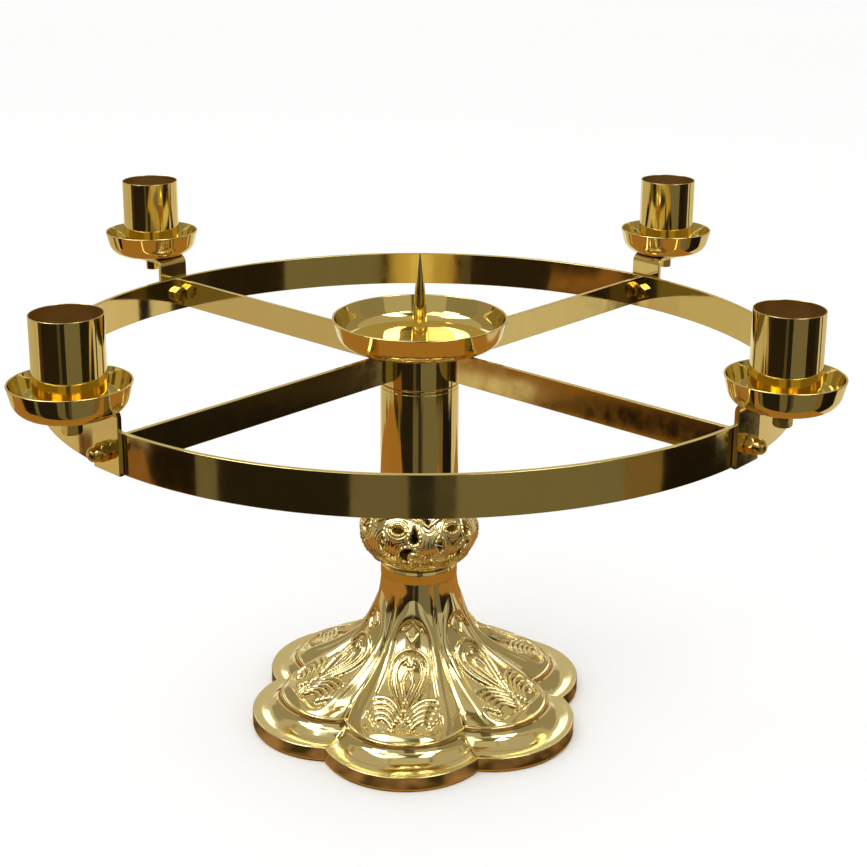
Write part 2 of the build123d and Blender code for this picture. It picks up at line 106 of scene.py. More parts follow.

# %% [markdown]
# Brass is a warm metal that takes a mirror polish. What tells the pieces apart is how they were finished:
# castings are buffed and get a painted shade in their corners, bar is polished along its length, and turned
# work shows fine rings. Each finish mixes two tones with cloudy noise, varies the roughness and has a fine
# bump. Pictures of brass could do this too, but noise in real millimetres fits every piece without unwrapping
# it. The painted shade in the corners comes from ambient occlusion, which finds creases at the scale of the
# ornament.

# %% Finishes
cloud_size, smear_size, wave_size = 34, 11, 22


def finish(name, tone, deep, roughness, grain, grain_height, wave_height, crease, crease_shade_tone, dull=0.18):
    """A metal finish. Grain gives the size of the polishing marks in mm along x, y and z.

    Corners narrower than crease, in mm, take a painted shade in the crease shade tone and grow rougher by
    dull.
    """
    material = bpy.data.materials.new(name)
    material.use_nodes = True
    tree = material.node_tree
    shader = tree.nodes["Principled BSDF"]
    shader.inputs["Metallic"].default_value = 1.0
    place = add(tree, "ShaderNodeTexCoord").outputs["Object"]

    clouds = add(tree, "ShaderNodeTexNoise", {"Vector": place}, i2=1 / (cloud_size * MM), i3=4.0, i4=0.6)
    tones = add(tree, "ShaderNodeMix", {"Factor": clouds.outputs[0]}, data_type="RGBA",
                i6=colour(tone), i7=colour(deep))

    # Painted shade: ambient occlusion darkens corners and creases towards the crease shade tone.
    corners = add(tree, "ShaderNodeAmbientOcclusion", i1=crease * MM, samples=6)
    dark = add(tree, "ShaderNodeMapRange", {"Value": corners.outputs["AO"]}, i1=0.25, i2=0.8, i3=1.0, i4=0.0)
    shaded_tones = add(tree, "ShaderNodeMix", {"Factor": dark.outputs[0]}, data_type="RGBA", i7=colour(crease_shade_tone))
    tree.links.new(tones.outputs[2], shaded_tones.inputs[6])
    tree.links.new(shaded_tones.outputs[2], shader.inputs["Base Color"])

    smears = add(tree, "ShaderNodeTexNoise", {"Vector": place}, i2=1 / (smear_size * MM), i3=5.0, i4=0.65)
    rough = add(tree, "ShaderNodeMapRange", {"Value": smears.outputs[0]}, i1=0.35, i2=0.7,
                i3=roughness * 0.7, i4=roughness * 1.5)
    rougher = add(tree, "ShaderNodeMath", operation="MULTIPLY_ADD", i1=dull)
    tree.links.new(dark.outputs[0], rougher.inputs[0])
    tree.links.new(rough.outputs[0], rougher.inputs[2])
    tree.links.new(rougher.outputs[0], shader.inputs["Roughness"])

    stretched = add(tree, "ShaderNodeMapping", {"Vector": place})
    stretched.inputs["Scale"].default_value = [1 / (size * MM) for size in grain]
    marks = add(tree, "ShaderNodeTexNoise", {"Vector": stretched.outputs[0]}, i2=1.0, i3=3.0, i4=0.6)
    waves = add(tree, "ShaderNodeTexNoise", {"Vector": place}, i2=1 / (wave_size * MM), i3=2.0, i4=0.4)
    swell = add(tree, "ShaderNodeBump", {"Height": waves.outputs[0]}, i0=1.0, i1=wave_height * MM)
    bump = add(tree, "ShaderNodeBump", {"Height": marks.outputs[0], "Normal": swell.outputs[0]},
               i0=1.0, i1=grain_height * MM)
    tree.links.new(bump.outputs[0], shader.inputs["Normal"])
    return material


# Real polishing marks are finer than 0.1 mm. They are drawn coarser here, so that they show.
# Cast and buffed: bright and a little uneven, with a painted shade in the corners of the ornament.
cast_brass = finish("polished cast brass", "#F5EABA", "#EDDCA0", roughness=0.10, grain=(1.6, 1.6, 1.6),
                    grain_height=0.004, wave_height=0.05, crease=3.0, crease_shade_tone="#8E6E34")
# Rolled flat bar, polished along its length: nearly a mirror, with faint level lines.
bar_brass = finish("polished flat bar brass", "#F0DE9A", "#E8D288", roughness=0.07, grain=(60, 60, 0.7),
                   grain_height=0.0012, wave_height=0.03, crease=2.5, crease_shade_tone="#8A6428")
# Turned and polished: nearly a mirror, with fine rings.
turned_brass = finish("turned and polished brass", "#F1E09C", "#E8D288", roughness=0.065, grain=(40, 40, 0.6),
                      grain_height=0.0010, wave_height=0.02, crease=3.0, crease_shade_tone="#8A6428")
# Drawn tube, not polished inside: soft in there, and darkened brown down the bore by a painted shade.
tube_brass = finish("drawn brass tube, dull inside", "#F1E09C", "#E8D288", roughness=0.065,
                    grain=(40, 40, 0.6), grain_height=0.0010, wave_height=0.02, crease=45.0,
                    crease_shade_tone="#C09A62", dull=0.5)
# Small milled and turned parts: bright but grainy, with a painted shade in the threads.
bolt_brass = finish("bright brass fasteners", "#E8D080", "#D8BC66", roughness=0.12, grain=(1.2, 1.2, 0.6),
                    grain_height=0.002, wave_height=0.01, crease=1.5, crease_shade_tone="#6A4A1C")
# Zinc plated steel: cool grey and satin.
zinc_steel = finish("zinc plated steel", "#C9CBCB", "#AEB1B4", roughness=0.24, grain=(2.0, 2.0, 0.7),
                    grain_height=0.003, wave_height=0.01, crease=2.0, crease_shade_tone="#4A4A48")
print("Finishes:", [material.name for material in bpy.data.materials])

# %% [markdown]
# Every piece is a mesh whose points lie where the CAD puts them. Primitives with modifiers could make
# such shapes too, but points that are worked out need no applying and follow the frame's sizes.
# A piece rides on a body and stands for its CAD node, which it hides, all in one function.

# %% Place a piece
def piece(name, parts, nodes, body, material, sharp=32):
    """One object from parts, each a pair of points in millimetres and faces."""
    points = np.concatenate([part[0] for part in parts]) * MM
    faces = []
    start = 0
    for part_points, part_faces in parts:
        faces += [[corner + start for corner in face] for face in part_faces]
        start += len(part_points)
    mesh = bpy.data.meshes.new(name)
    mesh.from_pydata(points.tolist(), [], faces)
    mesh.polygons.foreach_set("use_smooth", [True] * len(mesh.polygons))
    mesh.set_sharp_from_angle(angle=radians(sharp))
    mesh.materials.append(material)
    made = bpy.data.objects.new(name, mesh)
    bpy.context.scene.collection.objects.link(made)
    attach(made, body)
    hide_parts(*nodes)
    print(name, "has", len(mesh.vertices), "points")
    return made


def moved(part, place):
    """A part with its points moved by a matrix in millimetres."""
    points = np.asarray(part[0]) @ np.array(place.to_3x3()).T + np.array(place.translation)
    return points, part[1]


def upright(middle):
    """Moves a part from the axis to another upright axis."""
    return Matrix.Translation((middle[0], middle[1], 0))


def outwards(angle, distance, level):
    """Lays a part down, so that its own z axis points away from the middle axis."""
    turn = Matrix.Rotation(angle, 4, "Z") @ Matrix.Rotation(pi / 2, 4, "Y")
    return Matrix.Translation((distance * cos(angle), distance * sin(angle), level)) @ turn


cup_shift = upright(cup_middles["front_left"]).translation
print("The front left cup moves by", [round(value, 1) for value in cup_shift], "mm")

# %% [markdown]
# Turned work starts as a section: corners with a radius each, from the axis round the outside and back.
# The section is then carried round the axis, as a lathe does. Blender's Screw modifier does the same,
# but here a hexagon comes from the same function: a turned shape cut back to six flats,
# which leaves the curved edges that a chamfer leaves on a real nut.

# %% Turning
def rounded(corners):
    """A line through corners (across, up, radius), with an arc and a row beside both its ends."""
    line = []
    for index, (across, up, radius) in enumerate(corners):
        corner = np.array((across, up), float)
        if radius == 0:
            line.append(corner)
            continue
        back = np.array(corners[index - 1][:2], float) - corner
        on = np.array(corners[(index + 1) % len(corners)][:2], float) - corner
        back /= np.hypot(*back)
        on /= np.hypot(*on)
        half = acos(np.clip(back @ on, -1, 1)) / 2
        run = radius / tan(half)
        middle = corner + (back + on) / np.hypot(*(back + on)) * radius / sin(half)
        first = atan2(*(corner + back * run - middle)[::-1])
        last = atan2(*(corner + on * run - middle)[::-1])
        sweep = (last - first + pi) % (2 * pi) - pi
        steps = max(4, round(abs(sweep) / radians(6)))
        beside = run + 0.15 * radius
        line.append(corner + back * beside)
        for turn in np.linspace(first, first + sweep, steps + 1):
            line.append(middle + radius * np.array((cos(turn), sin(turn))))
        line.append(corner + on * beside)
    return line


def turned(line, segments=192, closed=False, flats=0):
    """Carries a line of (across, up) round the upright axis."""
    angles = np.arange(segments) * 2 * pi / segments
    points = []
    rows = []
    for across, up in line:
        if across < 1e-6:
            rows.append([len(points)] * segments)
            points.append((0.0, 0.0, up))
            continue
        reach = np.full(segments, float(across))
        if flats:
            reach = np.minimum(reach, flats / 2 / np.cos((angles + pi / 6) % (pi / 3) - pi / 6))
        rows.append(list(range(len(points), len(points) + segments)))
        points += list(zip(reach * np.cos(angles), reach * np.sin(angles), np.full(segments, up)))
    faces = []
    for below, above in zip(rows, rows[1:] + rows[:1] if closed else rows[1:]):
        for here in range(segments):
            on = (here + 1) % segments
            face = [below[here], below[on], above[on], above[here]]
            faces.append(list(dict.fromkeys(face)))
    return np.array(points), [face for face in faces if len(face) > 2]


def cylinder_line(radius, base, top, edge, bore=0.0):
    """The section of a plain ring or rod with rounded edges."""
    if not bore:
        return rounded([(0, base, 0), (radius, base, edge), (radius, top, edge), (0, top, 0)])
    return rounded([(bore, base, edge), (radius, base, edge), (radius, top, edge), (bore, top, edge)])


def bowl_line(rim_radius, seat, rim, lean, corner, wall, bore):
    """The section of a cup or pan: flat floor, round corner, leaning side and a rounded rim."""
    toe = rim_radius - lean
    slope = lean / (rim - seat)
    tilt = sqrt(1 + slope**2)
    lip = wall * 0.42
    return rounded([
        (bore, seat, 0), (toe, seat, corner), (rim_radius, rim, lip), (rim_radius - wall * tilt, rim, lip),
        (toe + wall * (slope - tilt), seat + wall, corner - wall), (bore, seat + wall, 0),
    ])


print("A 6 mm rod takes", len(turned(cylinder_line(3, 0, 20, 0.3))[0]), "points")

# %% [markdown]
# The stem is a stack of turned pieces that a hidden rod draws together. Cylinders with bevels could stand
# for them, but a section with a radius at each corner also gives a collar its bevel and a tube its thin
# edge. The two collars are alike but upside down: a nearly upright face, then a bevel towards the knop.

# %% Collars and tube
neck_top = high("foot")[2]
knop_base, knop_top = low("knop")[2], high("knop")[2]
tube_base, tube_top = low("stem_tube")[2], high("stem_tube")[2]
tube_radius, tube_wall, tube_edge = high("stem_tube")[0], 1.8, 0.3
collar_radius, collar_waist = high("neck_collar")[0], 25.6
bevel_radius, bevel_height, bevel_edge, collar_edge = collar_radius - 0.2, 2.0, 1.5, 0.35
rod_radius = 5.0

collar_shapes = {
    "neck_collar": ((collar_radius, neck_top, collar_edge),
                    (bevel_radius, knop_base - bevel_height, bevel_edge),
                    (collar_waist, knop_base, collar_edge)),
    "stem_collar": ((collar_waist, knop_top, collar_edge),
                    (bevel_radius, knop_top + bevel_height, bevel_edge),
                    (collar_radius, tube_base, collar_edge)),
}
for node, corners in collar_shapes.items():
    line = rounded([(rod_radius, corners[0][1], 0), *corners, (rod_radius, corners[-1][1], 0)])
    piece(node + "_turned", [turned(line, 256, closed=True)], [node], "stand", turned_brass)

line = rounded([(tube_radius - tube_wall, tube_base, 0), (tube_radius, tube_base, tube_edge),
                (tube_radius, tube_top, tube_edge), (tube_radius - tube_wall, tube_top, 0)])
piece("stem_tube_polished", [turned(line, 256, closed=True)], ["stem_tube"], "stand", turned_brass)

# %% [markdown]
# The plug closes the tube and carries the spigot that the wheel turns on, and only its flange shows. The
# steel tie rod shows in glimpses through the knop. Its thread could be a helix, but a groove for each
# turn looks the same at this size and comes out of a turned section.

# %% Plug, tie rod and washer
spigot_radius, hub_play, slip = 15.0, 0.25, 0.05
plug_base, pan_seat = low("spigot_plug")[2], high("spigot_plug")[2]
plug_radius = tube_radius - tube_wall - slip
hub_seat = low("hub")[2] - hub_play
line = rounded([(0, plug_base, 0), (plug_radius, plug_base, 0.5), (plug_radius, tube_top, 0),
                (tube_radius, tube_top, tube_edge), (tube_radius, hub_seat, tube_edge),
                (spigot_radius, hub_seat, 0), (spigot_radius, pan_seat, 0.4), (0, pan_seat, 0)])
piece("spigot_plug_turned", [turned(line, 256)], ["spigot_plug"], "stand", turned_brass)


def threaded(radius, base, top, pitch, depth):
    """A line up a threaded length: a groove for each turn of the thread."""
    line = []
    for turn in range(int((top - base) / pitch)):
        start = base + turn * pitch
        line += [(radius - depth, start), (radius, start + pitch * 0.4), (radius, start + pitch * 0.6)]
    return line + [(radius, top)]


rod_foot, rod_top = low("tie_rod")[2], high("tie_rod")[2]
rod_chamfer, rod_thread = 0.8, 16
line = [(0, rod_foot), (rod_radius - rod_chamfer, rod_foot)]
line += threaded(rod_radius, rod_foot + rod_chamfer, rod_foot + rod_thread, pitch=1.5, depth=0.7)
line += [(rod_radius, rod_top), (0, rod_top)]
piece("tie_rod_threaded", [turned(line, 96)], ["tie_rod"], "stand", zinc_steel, sharp=24)
line = cylinder_line(high("rod_washer")[0], low("rod_washer")[2], high("rod_washer")[2], 0.4, rod_radius)
washer = turned(line, 128, closed=True)
piece("rod_washer_pressed", [washer], ["rod_washer"], "stand", zinc_steel)

# %% [markdown]
# The pan is spun from sheet and catches the wax of the middle candle. The spike is turned with a slightly
# full flank. A plain cone would look too thin, so a few radii at shares of its height give the curve.

# %% Pan and spike
pan_radius, pan_rim, pan_wall = high("drip_pan")[0], high("drip_pan")[2], 1.5
stud_radius, stud_length, stud_chamfer = 4.0, 14, 0.5
line = bowl_line(pan_radius, pan_seat, pan_rim, lean=5.6, corner=11.7, wall=pan_wall, bore=stud_radius)
piece("drip_pan_spun", [turned(line, 320, closed=True)], ["drip_pan"], "stand", turned_brass)

spike_base, spike_top = pan_seat + pan_wall, high("candle_spike")[2]
spike_rise = spike_top - spike_base
shares = np.linspace(0, 1, 60)
spike_radii = np.interp(shares, (0, 0.04, 0.3, 0.64, 0.9, 1), (5.8, 5.6, 4.75, 3.1, 1.3, 0.5))
stud_end = pan_seat - stud_length
line = [(0, stud_end), (stud_radius - stud_chamfer, stud_end), (stud_radius, stud_end + stud_chamfer),
        (stud_radius, spike_base - 0.02)]
line += [(radius, spike_base + share * spike_rise) for radius, share in zip(spike_radii, shares)]
line += [(0.25, spike_top), (0, spike_top)]
piece("candle_spike_turned", [turned(line, 128)], ["candle_spike"], "stand", turned_brass)

# %% [markdown]
# The wheel is made of bar. The hoop is a flat bar bent to a ring with eased edges, and the hub is a thick
# ring. A bar could be bent along a curve, but a ring is turned just as well, and its joint can't show.

# %% Hoop and hub
hoop_radius, hoop_base, hoop_top = round(high("hoop")[0]), low("hoop")[2], high("hoop")[2]
hub_radius, hub_base, hub_top = high("hub")[0], low("hub")[2], high("hub")[2]
bar, hub_bore = 3.0, spigot_radius + slip
line = cylinder_line(hoop_radius, hoop_base, hoop_top, 0.4, hoop_radius - bar)
piece("hoop_bent_bar", [turned(line, 720, closed=True)], ["hoop"], "wheel", bar_brass)
line = rounded([(hub_bore, hub_base, 0), (hub_radius, hub_base, 0.9),
                (hub_radius, hub_top, 0.9), (hub_bore, hub_top, 0)])
piece("hub_turned", [turned(line, 256, closed=True)], ["hub"], "wheel", turned_brass)

# %% [markdown]
# A spoke is a bar on edge, let into a slot of the hub. It is swept: a section with rounded corners is set
# at stations along a line. A cube with a bevel would do for a spoke, but the brackets need the sweep too.

# %% Spokes
def swept(stations):
    """A closed skin over sections of equal count, each a ring of points."""
    stations = np.asarray(stations)
    rows, count = stations.shape[:2]
    faces = [list(range(count))[::-1], [(rows - 1) * count + corner for corner in range(count)]]
    for row in range(rows - 1):
        below, above = row * count, (row + 1) * count
        for corner in range(count):
            on = (corner + 1) % count
            faces.append([below + corner, below + on, above + on, above + corner])
    return stations.reshape(-1, 3), faces


def bar_section(half_width, half_thickness, edge):
    """A rectangle with rounded corners, as (sideways, through) points."""
    corners = [(-half_width, -half_thickness), (half_width, -half_thickness),
               (half_width, half_thickness), (-half_width, half_thickness)]
    return np.array(rounded([corner + (edge,) for corner in corners]))


spoke_base, spoke_top = low("spoke_front_left")[2], high("spoke_front_left")[2]
spoke_degrees, slot_depth = (225, 315, 45, 135), 3
section = bar_section((spoke_top - spoke_base) / 2, bar / 2, 0.35)
for name, degrees in zip(NAMES, spoke_degrees):
    turn = np.array(Matrix.Rotation(radians(degrees), 3, "Z"))
    stations = []
    for distance in np.linspace(hub_radius - slot_depth, hoop_radius - bar + slip, 40):
        ring = np.stack([np.full(len(section), distance), -section[:, 1],
                         section[:, 0] + (spoke_top + spoke_base) / 2], -1)
        stations.append(ring @ turn.T)
    piece("spoke_" + name + "_bar", [swept(stations)], ["spoke_" + name], "wheel", bar_brass)

# %% [markdown]
# A bracket is a strip bent to an angle, with a round end under its cup. Its path runs up the hoop's face,
# round the bend and out to the cup, and the section narrows along the round end.
# A bent plane with a Solidify modifier would be quicker, but its bend and end would have no eased edges.

# %% Brackets
bracket_top = low("drip_cup_front_left")[2]
bend, half_strip, strip_edge = 3.0, 12.5, 0.45
inwards, up = np.array((-1.0, 0.0)), np.array((0.0, 1.0))
strip_face, strip_level = hoop_radius + bar / 2, bracket_top - bar / 2
bend_middle = np.array((hoop_radius + bar + bend, bracket_top - bar - bend))
path = []
for level in np.linspace(hoop_base, bend_middle[1], 24)[:-1]:
    path.append((np.array((strip_face, level)), inwards, half_strip))
for turn in np.linspace(pi, pi / 2, 24):
    facing = np.array((cos(turn), sin(turn)))
    path.append((bend_middle + (bend + bar / 2) * facing, facing, half_strip))
for reach in np.linspace(bend_middle[0], cup_distance, 12)[1:]:
    path.append((np.array((reach, strip_level)), up, half_strip))
for turn in np.linspace(0, pi / 2, 26)[1:-1]:
    reach = cup_distance + half_strip * sin(turn)
    path.append((np.array((reach, strip_level)), up, half_strip * cos(turn)))

stations = []
for middle, facing, half_width in path:
    ring = bar_section(half_width, bar / 2, min(strip_edge, half_width / 3))
    reach = middle[0] + ring[:, 1] * facing[0]
    level = middle[1] + ring[:, 1] * facing[1]
    stations.append(np.stack([reach, -ring[:, 0], level], -1))
for name in NAMES:
    turn = np.array(Matrix.Rotation(cup_angles[name], 3, "Z"))
    strip = swept(np.asarray(stations) @ turn.T)
    piece("bracket_" + name + "_strip", [strip], ["bracket_" + name], "wheel", bar_brass)

# %% [markdown]
# Cups are spun bowls and sockets are thin tubes with a floor. Both are turned, then moved to their places.
# A socket is polished outside only, so every face within its bore's radius takes the dull finish of a tube.
# One mesh with two materials does this: two meshes would show a seam at the rim.

# %% Cups and sockets
cup_rim = high("drip_cup_front_left")[2]
cup_radius = (high("drip_cup_front_left") - low("drip_cup_front_left"))[0] / 2
socket_base, socket_top = low("candle_socket_front_left")[2], high("candle_socket_front_left")[2]
candle_floor = high("socket_screws")[2]
socket_radius, socket_bore, bore_margin = 20.6, 20.0, 0.2
screw_radius, sink_radius, sink_depth = 3.0, 6.0, 3
for name in NAMES:
    line = bowl_line(cup_radius, bracket_top, cup_rim, lean=4.6, corner=11.8, wall=1.2, bore=screw_radius)
    cup = moved(turned(line, 224, closed=True), upright(cup_middles[name]))
    piece("drip_cup_" + name + "_spun", [cup], ["drip_cup_" + name], "wheel", turned_brass)
    line = rounded([(screw_radius, socket_base, 0), (socket_radius, socket_base, 0.3),
                    (socket_radius, socket_top, 0.28), (socket_bore, socket_top, 0.28),
                    (socket_bore, candle_floor, 1.0), (sink_radius, candle_floor, 0),
                    (screw_radius, candle_floor - sink_depth, 0)])
    socket = moved(turned(line, 192, closed=True), upright(cup_middles[name]))
    node = "candle_socket_" + name
    made = piece(node + "_drawn", [socket], [node], "wheel", turned_brass)
    made.data.materials.append(tube_brass)
    across = np.array([face.center[:2] for face in made.data.polygons]) / MM - cup_middles[name][:2]
    bored = np.hypot(across[:, 0], across[:, 1]) < socket_bore + bore_margin
    made.data.polygons.foreach_set("material_index", bored.astype(np.int32))

# %% [markdown]
# The fasteners are small brass parts, turned and milled to hexagons. The screws hold the sockets from above,
# and the bolts run out through the hoop and the brackets to their cap nuts.
# A cylinder of six sides would be a hexagon too, but without the curved lines that a chamfer leaves on it.

# %% Hexagons
def hexagon(height, flats, bore, both=True):
    """A hexagon with chamfered ends, or only its upper end chamfered, standing on the level."""
    corner = flats / 2 / cos(pi / 6)
    edge = corner * 0.13
    lower = [(corner - 0.6, 0), (corner - 0.3, edge * 0.5), (corner, edge)] if both else [(corner, 0)]
    line = [(bore, 0)] + lower
    line += [(corner, height / 2), (corner, height - edge), (corner - 0.3, height - edge * 0.5),
             (corner - 0.6, height - edge * 0.08), (corner - 0.8, height), (bore, height)]
    return turned(line, 96, closed=bool(bore), flats=flats)


flats, rod_flats = 10.0, 16.0
print("A nut of", flats, "mm across the flats takes", len(hexagon(5, flats, screw_radius)[0]), "points")

# %% [markdown]
# All four screws are one piece, and so are the nuts, the bolts and the cap nuts, because the CAD
# keeps each set as one node. Four copies of a mesh could be placed by their objects, but one mesh in
# place is what a node needs.

# %% Screws, nuts and bolts
bolt_level = (low("cap_nuts")[2] + high("cap_nuts")[2]) / 2
nut_seat = hoop_radius + bar
screw_end, nut_base, nut_top = low("socket_screws")[2], low("socket_nuts")[2], high("socket_nuts")[2]
screw_tip, drive_top, drive_foot, drive_wall, drive_depth = 2.3, 2.2, 2.0, 1.6, 1.8
bolt_radius, bolt_out, bolt_chamfer, bolt_head = 3, 8, 0.4, 4.0
cap_skirt, cap_overlap, cap_radius, cap_height, cap_round = 5.5, 0.5, 4.75, 12.0, 4.4
screws, nuts, bolts, caps = [], [], [], []
for name in NAMES:
    place, angle = upright(cup_middles[name]), cup_angles[name]
    line = [(0, screw_end), (screw_tip, screw_end)]
    line += threaded(screw_radius, screw_end + 0.4, nut_base + 1, pitch=1.0, depth=0.5)
    line += [(screw_radius, candle_floor - sink_depth), (sink_radius - 0.1, candle_floor - 0.1),
             (sink_radius - 0.2, candle_floor), (drive_top, candle_floor),
             (drive_foot, candle_floor - drive_wall), (0, candle_floor - drive_depth)]
    screws.append(moved(turned(line, 96), place))
    spun = place @ Matrix.Translation((0, 0, nut_base)) @ Matrix.Rotation(angle, 4, "Z")
    nuts.append(moved(hexagon(nut_top - nut_base, flats, screw_radius), spun))
    head = sqrt((hoop_radius - bar) ** 2 - (flats / 2) ** 2)
    from_head, from_seat = outwards(angle, head, bolt_level), outwards(angle, nut_seat, bolt_level)
    facing_in = from_head @ Matrix.Rotation(pi, 4, "X") @ Matrix.Rotation(pi / 6, 4, "Z")
    bolts.append(moved(hexagon(bolt_head, flats, 0.0, both=False), facing_in))
    shank_end = nut_seat + bolt_out - head
    line = [(0, -1), (bolt_radius, -1), (bolt_radius, shank_end - bolt_chamfer),
            (bolt_radius - bolt_chamfer, shank_end), (0, shank_end)]
    bolts.append(moved(turned(line, 64), from_head))
    caps.append(moved(hexagon(cap_skirt, flats, 0.0), from_seat))
    dome_base = cap_skirt - cap_overlap
    line = rounded([(0, dome_base, 0), (flats / 2, dome_base, 0), (cap_radius, cap_skirt, 0.2),
                    (cap_radius, cap_height, cap_round), (0, cap_height, 0)])
    caps.append(moved(turned(line, 96), from_seat))
piece("socket_screws_turned", screws, ["socket_screws"], "wheel", bolt_brass, sharp=24)
piece("socket_nuts_milled", nuts, ["socket_nuts"], "wheel", bolt_brass, sharp=24)
piece("hoop_bolts_turned", bolts, ["hoop_bolts"], "wheel", bolt_brass, sharp=24)
piece("cap_nuts_turned", caps, ["cap_nuts"], "wheel", bolt_brass, sharp=24)
rod_nut = hexagon(high("rod_nut")[2] - low("rod_nut")[2], rod_flats, rod_radius)
rod_nut = moved(rod_nut, Matrix.Translation((0, 0, low("rod_nut")[2])))
piece("rod_nut_milled", [rod_nut], ["rod_nut"], "stand", zinc_steel, sharp=24)

# %% [markdown]
# The foot is one casting with six petals. It could be sculpted, but its outline at any level is six arcs
# that meet in notches, and a formula for the distance from the axis keeps every petal true to the CAD.
# The flare is given by shares: how far up, how far out and how deep the notch is, from the bead to the neck.

# %% Outline of the foot
lobes, foot_turn = 6, -9.5
petal_columns, flare_count = 132, 230
neck_radius, flare_tip, flare_base = 26.6, 97.8, 22.5
rise_shares = (0, 0.05, 0.10, 0.20, 0.30, 0.40, 0.55, 0.72, 0.86, 1)
reach_shares = (1, 0.90, 0.80, 0.57, 0.39, 0.26, 0.145, 0.06, 0.02, 0)
notch_shares = (0.815, 0.85, 0.875, 0.905, 0.925, 0.935, 0.945, 0.95, 0.955, 0.955)


def through(values, count):
    """A smooth run of count values through the given ones."""
    values = np.array(values, float)
    padded = np.concatenate([[2 * values[0] - values[1]], values, [2 * values[-1] - values[-2]]])
    steps = np.linspace(0, len(values) - 1, count)
    index = np.minimum(steps.astype(int), len(values) - 2)
    part = steps - index
    a, b, c, d = (padded[index + shift] for shift in range(4))
    bends = (c - a) * part + (2 * a - 5 * b + 4 * c - d) * part**2 + (3 * b - a - 3 * c + d) * part**3
    return 0.5 * (2 * b + bends)


def lobed(tip, notch, angles):
    """The distance from the axis to the lobed outline, for angles off the middle of a lobe."""
    middle = (tip**2 - notch**2) / (2 * (tip - notch * cos(pi / lobes)))
    return middle * np.cos(angles) + np.sqrt((tip - middle) ** 2 - (middle * np.sin(angles)) ** 2)


rise = through(rise_shares, flare_count)[::-1]
tips = neck_radius + through(reach_shares, flare_count)[::-1] * (flare_tip - neck_radius)
notches = tips * through(notch_shares, flare_count)[::-1]
levels = flare_base + rise * (neck_top - flare_base)
along_flare = np.concatenate([[0], np.cumsum(np.hypot(np.diff(tips), np.diff(levels)))])
print("Length of a petal from neck to bead:", round(along_flare[-1], 1), "mm")

# %% [markdown]
# Each petal has a sunk panel with a raised, rounded border, and a groove parts it from the next petal. The
# relief is a height field: one number for each place on the petal, worked out from how far that place lies
# inside the panel's edge. Cutting the panel with a boolean would leave hard edges that no casting has.

# %% Panel and border of a petal
panel_foot_radius, panel_top, panel_widest = 89.5, 31.5, 85
half_top, half_foot = 11.5, 28.5
panel_end, panel_bow = 86, 5
foot_corner, top_corner = 10, 6
side_share, steep_share = 0.97, 1.6
panel_depth, slope_start, slope_width = 1.4, 0.8, 2.2
border_height, border_middle, border_half, border_end, border_fade = 0.8, 2.6, 3.2, 12, 10
groove_depth, groove_half, groove_end, groove_fade = 0.9, 1.1, 96, 20


def round_corner(first, second, radius):
    """How far a place lies inside two edges whose corner is rounded."""
    arc = radius - np.hypot(radius - first, radius - second)
    return np.where((first < radius) & (second < radius), arc, np.minimum(first, second))


angles = (np.arange(petal_columns) / petal_columns - 0.5) * 2 * pi / lobes
reach = np.stack([lobed(tip, notch, angles) for tip, notch in zip(tips, notches)])
radial, across = reach * np.cos(angles), reach * np.sin(angles)
along = (np.interp(panel_foot_radius, tips, along_flare) - along_flare)[:, None] + np.zeros_like(across)

half_width = half_top + (radial - panel_top) / (panel_widest - panel_top) * (half_foot - half_top)
to_side = (half_width - abs(across)) * side_share
to_foot = panel_end + panel_bow * (1 - (across / half_foot) ** 2) - radial
to_top = (radial - panel_top) * steep_share
inside = round_corner(round_corner(to_side, to_foot, foot_corner), to_top, top_corner)
to_groove = np.pi / lobes * reach - abs(angles) * reach

sunk = np.clip((inside + slope_start) / slope_width, 0, 1)
sunk = sunk * sunk * (3 - 2 * sunk)
border = np.clip(1 - ((inside + border_middle) / border_half) ** 2, 0, 1)
border = border * np.clip((along + border_end) / border_fade, 0, 1)
groove = np.exp(-((to_groove / groove_half) ** 2)) * np.clip((groove_end - along) / groove_fade, 0, 1)
relief = border_height * border - panel_depth * sunk - groove_depth * groove
print("Panel and border lie from", round(relief.min(), 2), "to", round(relief.max(), 2), "mm off the flare")

# %% [markdown]
# The ornament in a panel is cast in low relief: an oval of bold strands, a lozenge above it and two fanned
# leaves at its foot. Each line is a stroke, a rounded ridge that tapers along a smooth curve through a few
# points. Points are mm from the petal's middle line and mm up from the panel's foot. One half is drawn and
# mirrored. A picture used as displacement would need a drawing, and strokes stay sharp at any size.

# %% Cast ornament
def near_line(across, along, points, widths):
    """For each place, how far it is from a line in shares of the line's half width there."""
    best = np.full(across.shape, 9.0)
    for (x0, y0), (x1, y1), w0, w1 in zip(points, points[1:], widths, widths[1:]):
        dx, dy = x1 - x0, y1 - y0
        share = np.clip(((across - x0) * dx + (along - y0) * dy) / (dx**2 + dy**2), 0, 1)
        gap = np.hypot(across - x0 - share * dx, along - y0 - share * dy)
        best = np.minimum(best, gap / (w0 + share * (w1 - w0)))
    return best


def stroke(across, along, points, width, end_width, height):
    """A rounded ridge along a smooth line through a few points."""
    points = np.array(points, float)
    smooth = np.stack([through(points[:, 0], 25), through(points[:, 1], 25)], -1)
    gap = near_line(across, along, smooth, np.linspace(width, end_width, 25))
    return height * np.sqrt(np.clip(1 - gap**2, 0, 1))


